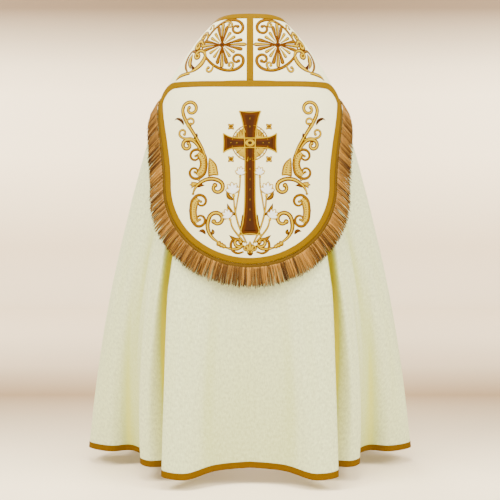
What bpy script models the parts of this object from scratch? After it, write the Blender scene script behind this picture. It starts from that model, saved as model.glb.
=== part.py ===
"""A cope: the long open cloak worn over the shoulders in church, as it hangs on a wearer.

Frame: metres, +Z up, the wearer faces -Y, so the hood hangs on the +Y side. The origin is the
middle of the neck opening at the level where the cope rests on the shoulders.

Every cloth piece is a wall between two layers of points. The layers come from one smooth worn
form (the bell), the plan of the folds at two levels, and distances along the cloth.
"""

import math
from collections import namedtuple

import bmesh
import bpy
from mathutils import Vector

# ---------------------------------------------------------------- driving sizes, in metres
NECK_TO_HEM = 1.470  # lowest point of the hem below the neck
CLOTH = 0.0020  # mantle: brocade with its lining
ORPHREY = 0.0024  # orphrey band: brocade on stiff interlining
HOOD = 0.0026  # hood: brocade on stiff interlining, lined
BRAID = 0.0010  # gold braid
BRAID_WIDTH = 0.019
BAND_WIDTH = 0.235  # orphrey, on the fronts
SEAM_GAP = 0.0003  # between pieces sewn edge to edge, or one on the other
CLASP_DROP = 0.285  # where the two front edges meet
CORNER_DROP = 0.420  # where the outer edge of the band turns down the front
EDGE_GAP_TOP = 0.008  # front edge from the middle, at the clasp
EDGE_GAP_HEM = 0.034  # front edge from the middle, at the hem
BAND_BOW = 0.010  # how far the middle of a front band sinks in at the hem

# ---------------------------------------------------------------- the worn form
# Level sections: half width, depth to the back and to the front, and how square they are.
Section = namedtuple("Section", "drop half_width back front squareness")
SECTIONS = (
    Section(-0.014, 0.100, 0.072, 0.074, 2.0),
    Section(0.000, 0.113, 0.082, 0.086, 2.0),
    Section(0.055, 0.165, 0.111, 0.118, 2.1),
    Section(0.122, 0.215, 0.138, 0.145, 2.2),
    Section(0.173, 0.249, 0.155, 0.160, 2.25),
    Section(0.225, 0.279, 0.171, 0.172, 2.3),
    Section(0.262, 0.298, 0.181, 0.179, 2.3),
    Section(0.306, 0.315, 0.191, 0.186, 2.3),
    Section(0.358, 0.334, 0.202, 0.193, 2.3),
    Section(0.409, 0.349, 0.211, 0.200, 2.3),
    Section(0.495, 0.375, 0.226, 0.212, 2.3),
    Section(0.720, 0.427, 0.264, 0.242, 2.3),
    Section(0.955, 0.476, 0.304, 0.274, 2.3),
    Section(1.210, 0.520, 0.347, 0.308, 2.3),
    Section(1.470, 0.560, 0.392, 0.344, 2.3),
)

# The two long edges of the orphrey band round the neck, from the centre back to the clasp:
# how far round the inner edge is, in degrees, and the depth of the inner and outer edge.
NeckStep = namedtuple("NeckStep", "along inner_angle inner_drop outer_drop")
NECK_STEPS = (
    NeckStep(0.00, 0.0, -0.010, 0.236),
    NeckStep(0.10, 20.0, -0.010, 0.236),
    NeckStep(0.25, 38.0, -0.010, 0.238),
    NeckStep(0.50, 70.0, -0.005, 0.246),
    NeckStep(0.70, 101.0, 0.014, 0.268),
    NeckStep(0.85, 134.0, 0.090, 0.315),
    NeckStep(0.94, 158.0, 0.178, 0.368),
    NeckStep(1.00, None, CLASP_DROP, CORNER_DROP),
)

# The folds of one half, from the centre back round to the seam of the front band. Each row is
# a crest or a hollow: how far round it is sewn in, where it lies in plan half way down and at
# the hem, how far its hem is lifted, and the steps to the next row.
MIDDLE_DROP = 0.92
FOLD_START = 0.27  # the folds fade out above this depth
FOLD_EASE = 0.30  # and reach their full form this share of the way from there to the hem
Fold = namedtuple("Fold", "name angle mid_x mid_y hem_x hem_y lift steps")
FOLDS = (
    Fold("centre_back", 0, 0.000, 0.274, 0.000, 0.302, 0.020, 3),
    Fold("back_slope", 13, 0.095, 0.277, 0.105, 0.318, 0.014, 3),
    Fold("back_lobe", 27, 0.184, 0.279, 0.205, 0.378, 0.000, 3),
    Fold("panel_edge", 40, 0.257, 0.263, 0.274, 0.362, 0.007, 3),
    Fold("deep_fold", 44, 0.260, 0.190, 0.238, 0.262, 0.014, 3),
    Fold("narrow_roll", 48, 0.300, 0.224, 0.318, 0.272, 0.014, 2),
    Fold("roll_edge", 50.5, 0.326, 0.196, 0.351, 0.238, 0.015, 2),
    Fold("roll_back", 54, 0.348, 0.152, 0.350, 0.135, 0.015, 3),
    Fold("side_hollow", 60, 0.388, 0.114, 0.402, 0.060, 0.017, 3),
    Fold("wing", 72, 0.441, 0.078, 0.468, 0.076, 0.016, 3),
    Fold("side", 88, 0.474, 0.004, 0.556, 0.000, 0.013, 3),
    Fold("side_front", 98, 0.454, -0.072, 0.527, -0.088, 0.010, 2),
    Fold("front_hollow", 108, 0.392, -0.118, 0.440, -0.128, 0.012, 3),
    Fold("front_roll", 117, 0.372, -0.192, 0.432, -0.246, 0.004, 3),
    Fold("front_pleat", 126, 0.318, -0.188, 0.352, -0.208, 0.010, 3),
    Fold("front_lobe", 137, 0.288, -0.232, 0.326, -0.304, 0.002, 3),
)
SEAM_ANGLE = 149.0  # the seam of the front band, at the hem
MANTLE_ROWS = 9  # rows of the mantle above the hem braid
HEM_SHARE = 0.9835  # where the hem braid's upper edge is, as a share of the mantle's length
BAND_LINES = (0.36, 0.66)  # grid lines between the band's two braids, as shares of its width

# ---------------------------------------------------------------- the hood
HOOD_TOP = 0.223  # depth of its top edge
HOOD_BOTTOM = 0.806  # and of its lowest point
HOOD_SHOULDER = 0.325  # half width along the cloth, below the top corners
HOOD_WAIST = 0.274  # half width along the cloth, where the sides run into the round bottom
HOOD_WAIST_DROP = 0.553
HOOD_FLARE = 1.6  # how quickly the sides draw in below the shoulders
HOOD_CORNER = 0.048  # radius of the two top corners
HOOD_SEATED = 0.0023  # clear height over the band at the middle of the top edge
HOOD_LIFT = 0.0080  # clear height elsewhere
HOOD_TOP_STEPS = 16  # and as many round the bottom
HOOD_SIDE_STEPS = 10
LOWER_CORNER = 0.62  # where the bottom steps begin, as a share of a side's length

HEADING = 0.012  # woven head of the fringe
FRINGE_LENGTH = 0.060
FRINGE_THICK = 0.0030
FRINGE_START = 0.80  # where it begins, as a share of the step below the top corner
FRINGE_SLANT = 50.0  # how far the strands stand out at the sides, in degrees from hanging
STRANDS = 150
STRAND_SHARE = 0.66  # width of a strand, of the room that it has
STRAND_NECK = 0.12  # where it reaches that width, of its length

# ---------------------------------------------------------------- the morse
MORSE_HALF_WIDTH = 0.072
MORSE_TOP = 0.300
MORSE_BOTTOM = 0.372
MORSE_LIFT = 0.0021
MORSE = 0.0024
MORSE_BRAID = 0.010

IVORY = (0.86, 0.84, 0.70, 1)
WHITE_SILK = (0.88, 0.87, 0.82, 1)
GOLD = (0.62, 0.40, 0.05, 1)
BULLION = (0.55, 0.35, 0.12, 1)


# ---------------------------------------------------------------- curves through tables
def monotone(knots, values):
    """A smooth curve through a table that never overshoots it, as a function."""
    spans = [b - a for a, b in zip(knots, knots[1:])]
    slopes = [(b - a) / h for a, b, h in zip(values, values[1:], spans)]
    tangents = [slopes[0]]
    for left, right, before, after in zip(spans, spans[1:], slopes, slopes[1:]):
        if before * after <= 0:
            tangents.append(0.0)
        else:
            one, two = 2 * right + left, right + 2 * left
            tangents.append((one + two) / (one / before + two / after))
    tangents.append(slopes[-1])

    def curve(x):
        x = min(max(x, knots[0]), knots[-1])
        i = max(0, sum(k <= x for k in knots[1:-1]))
        h = spans[i]
        s = (x - knots[i]) / h
        return (
            values[i] * (1 + 2 * s) * (1 - s) ** 2
            + tangents[i] * h * s * (1 - s) ** 2
            + values[i + 1] * s * s * (3 - 2 * s)
            + tangents[i + 1] * h * s * s * (s - 1)
        )

    return curve


def flowing(knots, points):
    """A smooth curve through plan points, as a function; it may swing past them, as cloth does."""
    tangents = []
    last = len(points) - 1
    for i in range(last + 1):
        before, after = max(i - 1, 0), min(i + 1, last)
        if before == i or after == i:
            tangents.append((points[after] - points[before]) / (knots[after] - knots[before]))
            continue
        left, right = knots[i] - knots[before], knots[after] - knots[i]
        rise = (points[i] - points[before]) / left
        fall = (points[after] - points[i]) / right
        tangents.append((rise * right + fall * left) / (left + right))

    def curve(x):
        i = max(0, sum(k <= x for k in knots[1:-1]))
        h = knots[i + 1] - knots[i]
        s = (x - knots[i]) / h
        return (
            points[i] * ((1 + 2 * s) * (1 - s) ** 2)
            + tangents[i] * (h * s * (1 - s) ** 2)
            + points[i + 1] * (s * s * (3 - 2 * s))
            + tangents[i + 1] * (h * s * s * (s - 1))
        )

    return curve


def mix(a, b, share):
    return a + (b - a) * share


def ease(x):
    """0 to 1, with a level start and end."""
    x = min(max(x, 0.0), 1.0)
    return x * x * (3 - 2 * x)


# ---------------------------------------------------------------- the bell
DROPS = [row.drop for row in SECTIONS]
half_width_at = monotone(DROPS, [row.half_width for row in SECTIONS])
back_at = monotone(DROPS, [row.back for row in SECTIONS])
front_at = monotone(DROPS, [row.front for row in SECTIONS])
squareness_at = monotone(DROPS, [row.squareness for row in SECTIONS])


def bell(angle, drop):
    """A point of the smooth worn form, by degrees round from the centre back and depth."""
    turn = math.radians(angle)
    side, along = math.sin(turn), math.cos(turn)
    depth = back_at(drop) if along > 0 else front_at(drop)
    power = squareness_at(drop)
    reach = (
        abs(side / half_width_at(drop)) ** power + abs(along / depth) ** power
    ) ** (-1 / power)
    return Vector((reach * side, reach * along, -drop))


def front_angle_at(x, drop):
    """How far round the bell's front is x from the middle, at this depth."""
    low, high = 90.0, 180.0
    for _ in range(40):
        middle = (low + high) / 2
        if bell(middle, drop).x > x:
            low = middle
        else:
            high = middle
    return (low + high) / 2


def edge_x(drop):
    """How far a front edge is from the middle."""
    share = (drop - CLASP_DROP) / (NECK_TO_HEM - CLASP_DROP)
    return mix(EDGE_GAP_TOP, EDGE_GAP_HEM, share)


def seam_angle_at(drop):
    return front_angle_at(edge_x(drop) + BAND_WIDTH, drop)


CORNER_ANGLE = seam_angle_at(CORNER_DROP)

# ---------------------------------------------------------------- the orphrey band
ALONG = [row.along for row in NECK_STEPS]
inner_angle_at = monotone(
    ALONG,
    [row.inner_angle for row in NECK_STEPS[:-1]]
    + [front_angle_at(EDGE_GAP_TOP, CLASP_DROP)],
)
inner_drop_at = monotone(ALONG, [row.inner_drop for row in NECK_STEPS])
outer_drop_at = monotone(ALONG, [row.outer_drop for row in NECK_STEPS])


def band_edges(along):
    """Angle and depth of the band's inner and outer edge. along is 0 at the centre back, 1 at
    the clasp and 2 at the hem."""
    if along <= 1:
        inner = (inner_angle_at(along), inner_drop_at(along))
        return inner, (along * CORNER_ANGLE, outer_drop_at(along))
    share = along - 1
    hem = NECK_TO_HEM - FOLDS[-1].lift
    inner_drop = mix(CLASP_DROP, hem, share)
    outer_drop = mix(CORNER_DROP, hem, share)
    inner = (front_angle_at(edge_x(inner_drop), inner_drop), inner_drop)
    return inner, (seam_angle_at(outer_drop), outer_drop)


def band_point(along, share):
    """A point of the band on the left half: along it, and the share of its width outwards."""
    inner, outer = band_edges(along)
    point = bell(mix(inner[0], outer[0], share), mix(inner[1], outer[1], share))
    bow = BAND_BOW * max(along - 1, 0) * math.sin(math.pi * share)
    return point + Vector((0, bow, 0))


# ---------------------------------------------------------------- the mantle and its folds
def seam_target(drop):
    return bell(seam_angle_at(drop), drop).to_2d()


FOLD_HEM = [Vector((row.hem_x, row.hem_y)) for row in FOLDS] + [seam_target(NECK_TO_HEM)]
FOLD_MIDDLE = [Vector((row.mid_x, row.mid_y)) for row in FOLDS] + [seam_target(MIDDLE_DROP)]
FOLD_ANGLES = [row.angle for row in FOLDS] + [SEAM_ANGLE]
FOLD_LIFTS = [row.lift for row in FOLDS] + [FOLDS[-1].lift]
FOLD_KNOTS = [0.0]
for here, there in zip(FOLD_HEM, FOLD_HEM[1:]):
    FOLD_KNOTS.append(FOLD_KNOTS[-1] + math.sqrt((there - here).length))


def mirrored(point):
    return Vector((-point.x, point.y))


WHOLE_KNOTS = [-FOLD_KNOTS[1]] + FOLD_KNOTS
hem_plan = flowing(WHOLE_KNOTS, [mirrored(FOLD_HEM[1])] + FOLD_HEM)
middle_plan = flowing(WHOLE_KNOTS, [mirrored(FOLD_MIDDLE[1])] + FOLD_MIDDLE)
fold_angle = monotone(FOLD_KNOTS, FOLD_ANGLES)
fold_lift = monotone(FOLD_KNOTS, FOLD_LIFTS)


def mantle_point(place, share):
    """A point of the mantle's left half: place along the fold knots, share of the way down."""
    sewn = fold_angle(place) / SEAM_ANGLE
    top = outer_drop_at(sewn)
    drop = mix(top, NECK_TO_HEM - fold_lift(place), share)
    front_drop = mix(CORNER_DROP, NECK_TO_HEM - FOLDS[-1].lift, share)
    base = bell(sewn * seam_angle_at(front_drop), drop)
    middle_swing = middle_plan(place) - bell(sewn * seam_angle_at(MIDDLE_DROP), MIDDLE_DROP).xy
    hem_swing = hem_plan(place) - bell(sewn * seam_angle_at(NECK_TO_HEM), NECK_TO_HEM).xy
    start = max(FOLD_START, top)
    down = max(drop - start, 0) / (NECK_TO_HEM - start)
    middle = (MIDDLE_DROP - start) / (NECK_TO_HEM - start)
    middle_part = down * (1 - down) / (middle * (1 - middle))
    hem_part = down * (down - middle) / (1 - middle)
    swing = (middle_swing * middle_part + hem_swing * hem_part) * ease(down / FOLD_EASE)
    return base + swing.to_3d()


# ---------------------------------------------------------------- sheets of points
class Sheet:
    """Rows of points with the outward normal at each: columns run round, rows run down."""

    def __init__(self, points, normals=None):
        self.points = points
        self.normals = normals or grid_normals(points)

    def part(self, columns, rows, cut=""):
        """Some columns and rows, with the edges named in cut drawn in by half a seam gap."""
        points = [[self.points[r][c].copy() for c in columns] for r in rows]
        normals = [[self.normals[r][c] for c in columns] for r in rows]
        if "top" in cut:
            points[0] = [drawn_in(a, b) for a, b in zip(points[0], points[1])]
        if "bottom" in cut:
            points[-1] = [drawn_in(a, b) for a, b in zip(points[-1], points[-2])]
        for row in points:
            if "right" in cut:
                row[0] = drawn_in(row[0], row[1])
            if "left" in cut:
                row[-1] = drawn_in(row[-1], row[-2])
        return Sheet(points, normals)


def drawn_in(edge, inside):
    return edge + (inside - edge).normalized() * SEAM_GAP / 2


def along_line(line, i):
    """The direction of a line of points at one of them, halfway between its two sides."""
    before = line[i] - line[i - 1] if i > 0 else Vector((0, 0, 0))
    after = line[i + 1] - line[i] if i < len(line) - 1 else Vector((0, 0, 0))
    return before.normalized() + after.normalized()


def grid_normals(points):
    normals = []
    for r, row in enumerate(points):
        normals.append([])
        for c in range(len(row)):
            column = [other[c] for other in points]
            normals[-1].append(along_line(row, c).cross(along_line(column, r)).normalized())
    return normals


def mirror_point(point):
    return Vector((-point.x, point.y, point.z))


def two_sided(left_rows):
    """Rows that start at the centre back, with the other half of the body put before them."""
    return [[mirror_point(p) for p in row[:0:-1]] + row for row in left_rows]


def quad_faces(columns, rows, wanted):
    faces = []
    for r in range(rows - 1):
        for c in range(columns - 1):
            if wanted(c, r):
                corner = r * columns + c
                faces.append((corner, corner + 1, corner + 1 + columns, corner + columns))
    return faces


# ---------------------------------------------------------------- solids from sheets
SPLIT_ALONG = Vector((1, 0, 3))  # a direction that no seam is square to


def material(name, colour, roughness, metallic=0.0):
    made = bpy.data.materials.new(name)
    made.use_nodes = True
    shader = made.node_tree.nodes["Principled BSDF"]
    shader.inputs["Base Color"].default_value = colour
    shader.inputs["Roughness"].default_value = roughness
    shader.inputs["Metallic"].default_value = metallic
    return made


def add_object(name, mesh, colour, roughness, metallic=0.0):
    data = bpy.data.meshes.new(name)
    mesh.to_mesh(data)
    mesh.free()
    data.shade_smooth()
    data.set_sharp_from_angle(angle=math.radians(50))
    data.materials.append(material(name, colour, roughness, metallic))
    made = bpy.data.objects.new(name, data)
    bpy.context.scene.collection.objects.link(made)


def split(face, points):
    """Two triangles from a quad, along its shorter diagonal, so that pieces laid on one
    another bend along the same lines."""
    a, b, c, d = face
    if (points[a] - points[c]).length <= (points[b] - points[d]).length:
        return [(a, b, c), (a, c, d)]
    return [(a, b, d), (b, c, d)]


def closed_wall(faces, points, normals, lift, thick):
    """A closed wall over these faces, from lift to lift + thick along the normals."""
    mesh = bmesh.new()
    faces = [triangle for face in faces for triangle in split(face, points)]
    outer = [mesh.verts.new(p + n * (lift + thick)) for p, n in zip(points, normals)]
    inner = [mesh.verts.new(p + n * lift) for p, n in zip(points, normals)]
    edges = {}
    for face in faces:
        mesh.faces.new([outer[i] for i in face])
        mesh.faces.new([inner[i] for i in reversed(face)])
        for a, b in zip(face, face[1:] + face[:1]):
            edges[(a, b)] = True
    for a, b in edges:
        if (b, a) in edges:
            continue
        # Side walls that face each other across a seam are split along the same diagonal.
        if (points[a] - points[b]).dot(SPLIT_ALONG) > 0:
            mesh.faces.new((outer[b], outer[a], inner[b]))
            mesh.faces.new((outer[a], inner[a], inner[b]))
        else:
            mesh.faces.new((outer[b], outer[a], inner[a]))
            mesh.faces.new((outer[b], inner[a], inner[b]))
    loose = [v for v in mesh.verts if not v.link_faces]
    bmesh.ops.delete(mesh, geom=loose, context="VERTS")
    return mesh


def flat_list(rows):
    return [item for row in rows for item in row]


def sheet_wall(sheet, lift, thick, wanted=lambda column, row: True):
    faces = quad_faces(len(sheet.points[0]), len(sheet.points), wanted)
    return closed_wall(faces, flat_list(sheet.points), flat_list(sheet.normals), lift, thick)


# ---------------------------------------------------------------- mantle and band
def mantle_places():
    """Places of the columns, from the centre back to the front seam."""
    places = [0.0]
    for fold, a, b in zip(FOLDS, FOLD_KNOTS, FOLD_KNOTS[1:]):
        places += [mix(a, b, i / fold.steps) for i in range(1, fold.steps + 1)]
    return places


PLACES = mantle_places()
SHARES = [HEM_SHARE * i / MANTLE_ROWS for i in range(MANTLE_ROWS + 1)] + [1.0]
SEWN = [fold_angle(place) / SEAM_ANGLE for place in PLACES]
HALF = len(PLACES) - 1  # columns of half the mantle
SIDE = HALF + len(SHARES) - 1  # columns of half the band
BEFORE_DEEP_FOLD = [fold.name for fold in FOLDS].index("deep_fold")
BACK_HALF = sum(fold.steps for fold in FOLDS[:BEFORE_DEEP_FOLD]) + 1  # half the back panel


def mantle_sheet():
    return Sheet(two_sided([[mantle_point(p, share) for p in PLACES] for share in SHARES]))


def band_shares(along):
    """Where the band's grid lines are, so that both braids keep their width."""
    width = (band_point(along, 1) - band_point(along, 0)).length
    return (0, BRAID_WIDTH / width, *BAND_LINES, 1 - BRAID_WIDTH / width, 1)


def beside_centre(point):
    """The point of this depth that lies on the edge of the centre back braid."""
    drop = -point.z
    return bell(math.degrees(math.atan2(BRAID_WIDTH / 2, back_at(drop))), drop)


def band_sheet():
    stations = SEWN + [1 + share for share in SHARES[1:]]
    columns = [[band_point(s, share) for share in band_shares(s)] for s in stations]
    columns[1] = [beside_centre(point) for point in columns[1]]
    return Sheet(two_sided([list(row) for row in zip(*columns)]))


def share_seam_normals(mantle, band):
    """The mantle's top and front edges and the band's outer edge get the same normals."""
    for side in (-1, 1):
        for i in range(SIDE + 1):
            row, column = max(i - HALF, 0), HALF + side * min(i, HALF)
            shared = mantle.normals[row][column] + band.normals[-1][SIDE + side * i]
            mantle.normals[row][column] = shared.normalized()
            band.normals[-1][SIDE + side * i] = shared.normalized()


def add_mantle(mantle):
    right, left = HALF - BACK_HALF, HALF + BACK_HALF
    rows = range(len(SHARES))
    panels = (
        ("mantle_right", range(0, right + 1), ("top", "left", "right")),
        ("mantle_back", range(right, left + 1), ("top", "left", "right")),
        ("mantle_left", range(left, 2 * HALF + 1), ("top", "left", "right")),
    )
    for name, columns, cut in panels:
        add_object(name, sheet_wall(mantle.part(columns, rows, cut), -CLOTH, CLOTH), IVORY, 0.8)


def add_orphrey(band):
    rows = range(len(band.points))
    for name, columns, cut in (
        ("orphrey_right", range(0, SIDE + 1), ("bottom", "left")),
        ("orphrey_left", range(SIDE, 2 * SIDE + 1), ("bottom", "right")),
    ):
        wall = sheet_wall(band.part(columns, rows, cut), -ORPHREY, ORPHREY)
        add_object(name, wall, WHITE_SILK, 0.7)


def add_braid(name, sheet):
    add_object(name, sheet_wall(sheet, SEAM_GAP, BRAID), GOLD, 0.45, 0.4)


def add_band_braids(band):
    last = len(band.points) - 1
    above_hem = range(1, 2 * SIDE)
    add_braid("edge_braid", band.part(above_hem, (0, 1), ("bottom", "left", "right")))
    add_braid("seam_braid", band.part(above_hem, (last - 1, last), ("top", "left", "right")))
    centre = range(SIDE - 1, SIDE + 2)
    add_braid("centre_braid", band.part(centre, range(1, last), ("top", "bottom")))


def add_hem_braid(mantle, band):
    """One braid round the whole hem, over both bands and the mantle."""
    points, normals = [], []
    for row, end in ((len(SHARES) - 2, 1), (len(SHARES) - 1, 0)):
        for sheet, kept in ((band.points, points), (band.normals, normals)):
            kept.append([line[end] for line in sheet])
        inner = mantle.points[row][1:-1], mantle.normals[row][1:-1]
        points[-1] += inner[0] + [line[2 * SIDE - end] for line in band.points[::-1]]
        normals[-1] += inner[1] + [line[2 * SIDE - end] for line in band.normals[::-1]]
    whole = Sheet(points, normals)
    add_braid("hem_braid", whole.part(range(len(points[0])), (0, 1), ("top",)))


# ---------------------------------------------------------------- hood and fringe
def arc_angle(drop):
    """The angle round the bell, from the length along its level section."""
    angles = [2.0 * i for i in range(76)]
    lengths = [0.0]
    for a, b in zip(angles, angles[1:]):
        lengths.append(lengths[-1] + (bell(b, drop) - bell(a, drop)).length)
    return monotone(lengths, angles)


def on_back(place):
    """Point and outward normal of the bell at a place: metres round from the centre back
    along the level section, and depth."""
    angle = arc_angle(place.y)(abs(place.x))
    point = bell(angle, place.y)
    across = bell(angle + 0.5, place.y) - bell(angle - 0.5, place.y)
    down = bell(angle, place.y + 0.002) - bell(angle, place.y - 0.002)
    normal = across.cross(down).normalized()
    if place.x < 0:
        return mirror_point(point), mirror_point(normal)
    return point, normal


def hood_outline(steps=60):
    """One half of the outline as places, from the middle of the top to the bottom."""
    top = [Vector((0, HOOD_TOP)), Vector((HOOD_SHOULDER - HOOD_CORNER, HOOD_TOP))]
    corner, side, bottom = [], [], []
    side_top = HOOD_TOP + HOOD_CORNER
    for i in range(1, steps + 1):
        turn = math.pi / 2 * i / steps
        swing = Vector((math.sin(turn) - 1, 1 - math.cos(turn)))
        corner.append(Vector((HOOD_SHOULDER, HOOD_TOP)) + swing * HOOD_CORNER)
        left = 1 - i / steps
        half = HOOD_WAIST + (HOOD_SHOULDER - HOOD_WAIST) * left**HOOD_FLARE
        side.append(Vector((half, mix(HOOD_WAIST_DROP, side_top, left))))
        deep = (HOOD_BOTTOM - HOOD_WAIST_DROP) * math.sin(turn)
        bottom.append(Vector((HOOD_WAIST * math.cos(turn), HOOD_WAIST_DROP + deep)))
    return top + corner + side + bottom


OUTLINE = hood_outline()
OUTLINE_LENGTHS = [0.0]
for here, there in zip(OUTLINE, OUTLINE[1:]):
    OUTLINE_LENGTHS.append(OUTLINE_LENGTHS[-1] + (there - here).length)
outline_arc = monotone(OUTLINE_LENGTHS, [p.x for p in OUTLINE])
outline_drop = monotone(OUTLINE_LENGTHS, [p.y for p in OUTLINE])
CORNER_START = OUTLINE_LENGTHS[1]
OUTLINE_END = OUTLINE_LENGTHS[-1]


def edge_place(length, out=0.0):
    """A place on the hood's left outline, by its length from the middle of the top edge, or
    out metres outside it; and the direction there, straight out."""
    before, after = max(length - 0.001, 0), min(length + 0.001, OUTLINE_END)
    run = Vector((outline_arc(after), outline_drop(after)))
    run -= Vector((outline_arc(before), outline_drop(before)))
    outwards = Vector((run.y, -run.x)).normalized()
    return Vector((outline_arc(length), outline_drop(length))) + outwards * out, outwards


def hood_lift(place):
    away = max(ease(abs(place.x) / 0.20), ease((place.y - HOOD_TOP) / 0.12))
    return mix(HOOD_SEATED, HOOD_LIFT, away)


def on_hood(place):
    """Point on the hood's inner face, and its normal."""
    point, normal = on_back(place)
    return point + normal * hood_lift(place), normal


def hood_stations():
    """Lengths along the left outline of the hood's grid points, from top to bottom."""
    corner = CORNER_START + HOOD_CORNER * math.pi / 4
    lower = mix(corner, OUTLINE_END, LOWER_CORNER)
    half = HOOD_TOP_STEPS // 2
    stops = [corner * i / half for i in range(half)]
    stops += [mix(corner, lower, i / HOOD_SIDE_STEPS) for i in range(HOOD_SIDE_STEPS)]
    return stops + [mix(lower, OUTLINE_END, i / half) for i in range(half + 1)]


def hood_loop(out):
    """Places all round the hood, out metres outside its outline: from the middle of the top
    down the left side to the bottom and back up the right side."""
    left = [edge_place(length, out)[0] for length in hood_stations()]
    left[0].x = left[-1].x = 0
    return left + [Vector((-p.x, p.y)) for p in left[-2:0:-1]]


def hood_rows():
    """Rows of places over the hood inside its braid, blended from the four sides."""
    loop = hood_loop(-BRAID_WIDTH)
    half, side, count = HOOD_TOP_STEPS // 2, HOOD_SIDE_STEPS, len(loop)
    top = [loop[i % count] for i in range(-half, half + 1)]
    left = loop[half : half + side + 1]
    right = [loop[-half - r] for r in range(side + 1)]
    bottom = loop[half + side : half + side + HOOD_TOP_STEPS + 1][::-1]
    rows = []
    for r in range(side + 1):
        down = r / side
        rows.append([])
        for c in range(HOOD_TOP_STEPS + 1):
            over = c / HOOD_TOP_STEPS
            corners = mix(mix(top[0], top[-1], over), mix(bottom[0], bottom[-1], over), down)
            blend = mix(top[c], bottom[c], down) + mix(right[r], left[r], over) - corners
            rows[-1].append(blend)
    return rows


def hood_grid():
    """Places and faces of the whole hood: the rows, then the ring under the braid."""
    rows = hood_rows()
    places = flat_list(rows)
    half, side, wide = HOOD_TOP_STEPS // 2, HOOD_SIDE_STEPS, HOOD_TOP_STEPS + 1
    faces = quad_faces(wide, side + 1, lambda column, row: True)
    rim = [half + i for i in range(half + 1)]
    rim += [r * wide + wide - 1 for r in range(1, side + 1)]
    rim += [side * wide + c for c in range(wide - 2, -1, -1)]
    rim += [r * wide for r in range(side - 1, -1, -1)]
    rim += [i for i in range(1, half)]
    ring = []
    first = len(places)
    places += hood_loop(0.0)
    count = len(rim)
    for i in range(count):
        j = (i + 1) % count
        ring.append((rim[j], rim[i], first + i, first + j))
    return places, faces, ring


def add_hood():
    places, faces, ring = hood_grid()
    spots = [on_hood(place) for place in places]
    points = [spot[0] for spot in spots]
    normals = [spot[1] for spot in spots]
    add_object("hood", closed_wall(faces + ring, points, normals, 0, HOOD), WHITE_SILK, 0.7)
    braid = closed_wall(ring, points, normals, HOOD + SEAM_GAP, BRAID)
    add_object("hood_braid", braid, GOLD, 0.45, 0.4)


def strand_direction(place, outwards):
    """Which way a left strand lies: hanging at the bottom, standing out at the sides."""
    normal = on_back(place)[1]
    slant = math.radians(FRINGE_SLANT) * abs(outwards.x)
    level = Vector((normal.y, -normal.x, 0)).normalized()
    hanging = normal.cross(level).normalized()
    return (level * math.sin(slant) + hanging * math.cos(slant)).normalized()


def edge_station(length):
    """Just outside the hood's edge: the four corners of the heading, inner edge first and
    inner face first, and the direction of the strands."""
    lift = (HOOD - FRINGE_THICK) / 2
    corners = []
    for out in (SEAM_GAP, HEADING):
        place, outwards = edge_place(length, out)
        point, normal = on_hood(place)
        corners += [point + normal * lift, point + normal * (lift + FRINGE_THICK)]
    return corners + [strand_direction(place, outwards)]


def fringe_stations():
    """The heading's stations, with as many strands on each straight step of the hood's edge
    as fit in it, down the left side and up the right one."""
    lengths = hood_stations()[HOOD_TOP_STEPS // 2 :]
    ends = [edge_station(length) for length in lengths]
    pitch = (lengths[-1] - lengths[0]) / (STRANDS // 2)
    stations = []
    for i, (here, there) in enumerate(zip(ends, ends[1:])):
        count = round((lengths[i + 1] - lengths[i]) / pitch)
        skipped = round(count * FRINGE_START) if i == 0 else 0
        for j in range(skipped, count):
            stations.append([mix(a, b, j / count) for a, b in zip(here, there)])
    stations.append(ends[-1])
    return stations + [[mirror_point(p) for p in station] for station in stations[-2::-1]]


def grow_strand(mesh, root, way):
    """A strand from a root face of the heading: it narrows at once and stays clear."""
    middle = sum((corner.co for corner in root), Vector((0, 0, 0))) / len(root)
    spread = [(corner.co - middle) * STRAND_SHARE for corner in root]
    last = root
    for share in (STRAND_NECK, 1.0):
        ends = [mesh.verts.new(middle + way * share + offset) for offset in spread]
        for i in range(len(root)):
            j = (i + 1) % len(root)
            mesh.faces.new((last[i], last[j], ends[j], ends[i]))
        last = ends
    mesh.faces.new(last)


def add_fringe():
    """The woven heading and, grown from its outer edge, one strand for each step."""
    mesh = bmesh.new()
    stations = fringe_stations()
    rings = [[mesh.verts.new(corner) for corner in station[:4]] for station in stations]
    for a, b, c, d in (rings[0], rings[-1]):
        mesh.faces.new((a, b, d, c))
    for station, beyond, here, there in zip(stations, stations[1:], rings, rings[1:]):
        mesh.faces.new((here[0], here[2], there[2], there[0]))
        mesh.faces.new((here[1], there[1], there[3], here[3]))
        mesh.faces.new((here[0], there[0], there[1], here[1]))
        root = (here[2], there[2], there[3], here[3])
        grow_strand(mesh, root, (station[4] + beyond[4]).normalized() * FRINGE_LENGTH)
    bmesh.ops.recalc_face_normals(mesh, faces=mesh.faces)
    add_object("hood_fringe", mesh, BULLION, 0.6, 0.3)


# ---------------------------------------------------------------- morse
def front_point(x, drop):
    point = bell(front_angle_at(abs(x), drop), drop)
    return mirror_point(point) if x < 0 else point


def add_morse():
    """The tab across both bands at the chest, with its braid."""
    inside = MORSE_HALF_WIDTH - MORSE_BRAID
    across = (MORSE_HALF_WIDTH, inside, inside / 2, 0)
    across += tuple(-x for x in across[-2::-1])
    down = (MORSE_TOP, MORSE_TOP + MORSE_BRAID, MORSE_BOTTOM - MORSE_BRAID, MORSE_BOTTOM)
    sheet = Sheet([[front_point(x, drop) for x in across] for drop in down])
    add_object("morse", sheet_wall(sheet, MORSE_LIFT, MORSE), WHITE_SILK, 0.7)
    sides = (0, len(across) - 2)
    ends = (0, len(down) - 2)
    lift = MORSE_LIFT + MORSE + SEAM_GAP
    braid = sheet_wall(sheet, lift, BRAID, lambda column, row: column in sides or row in ends)
    add_object("morse_braid", braid, GOLD, 0.45, 0.4)


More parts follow.
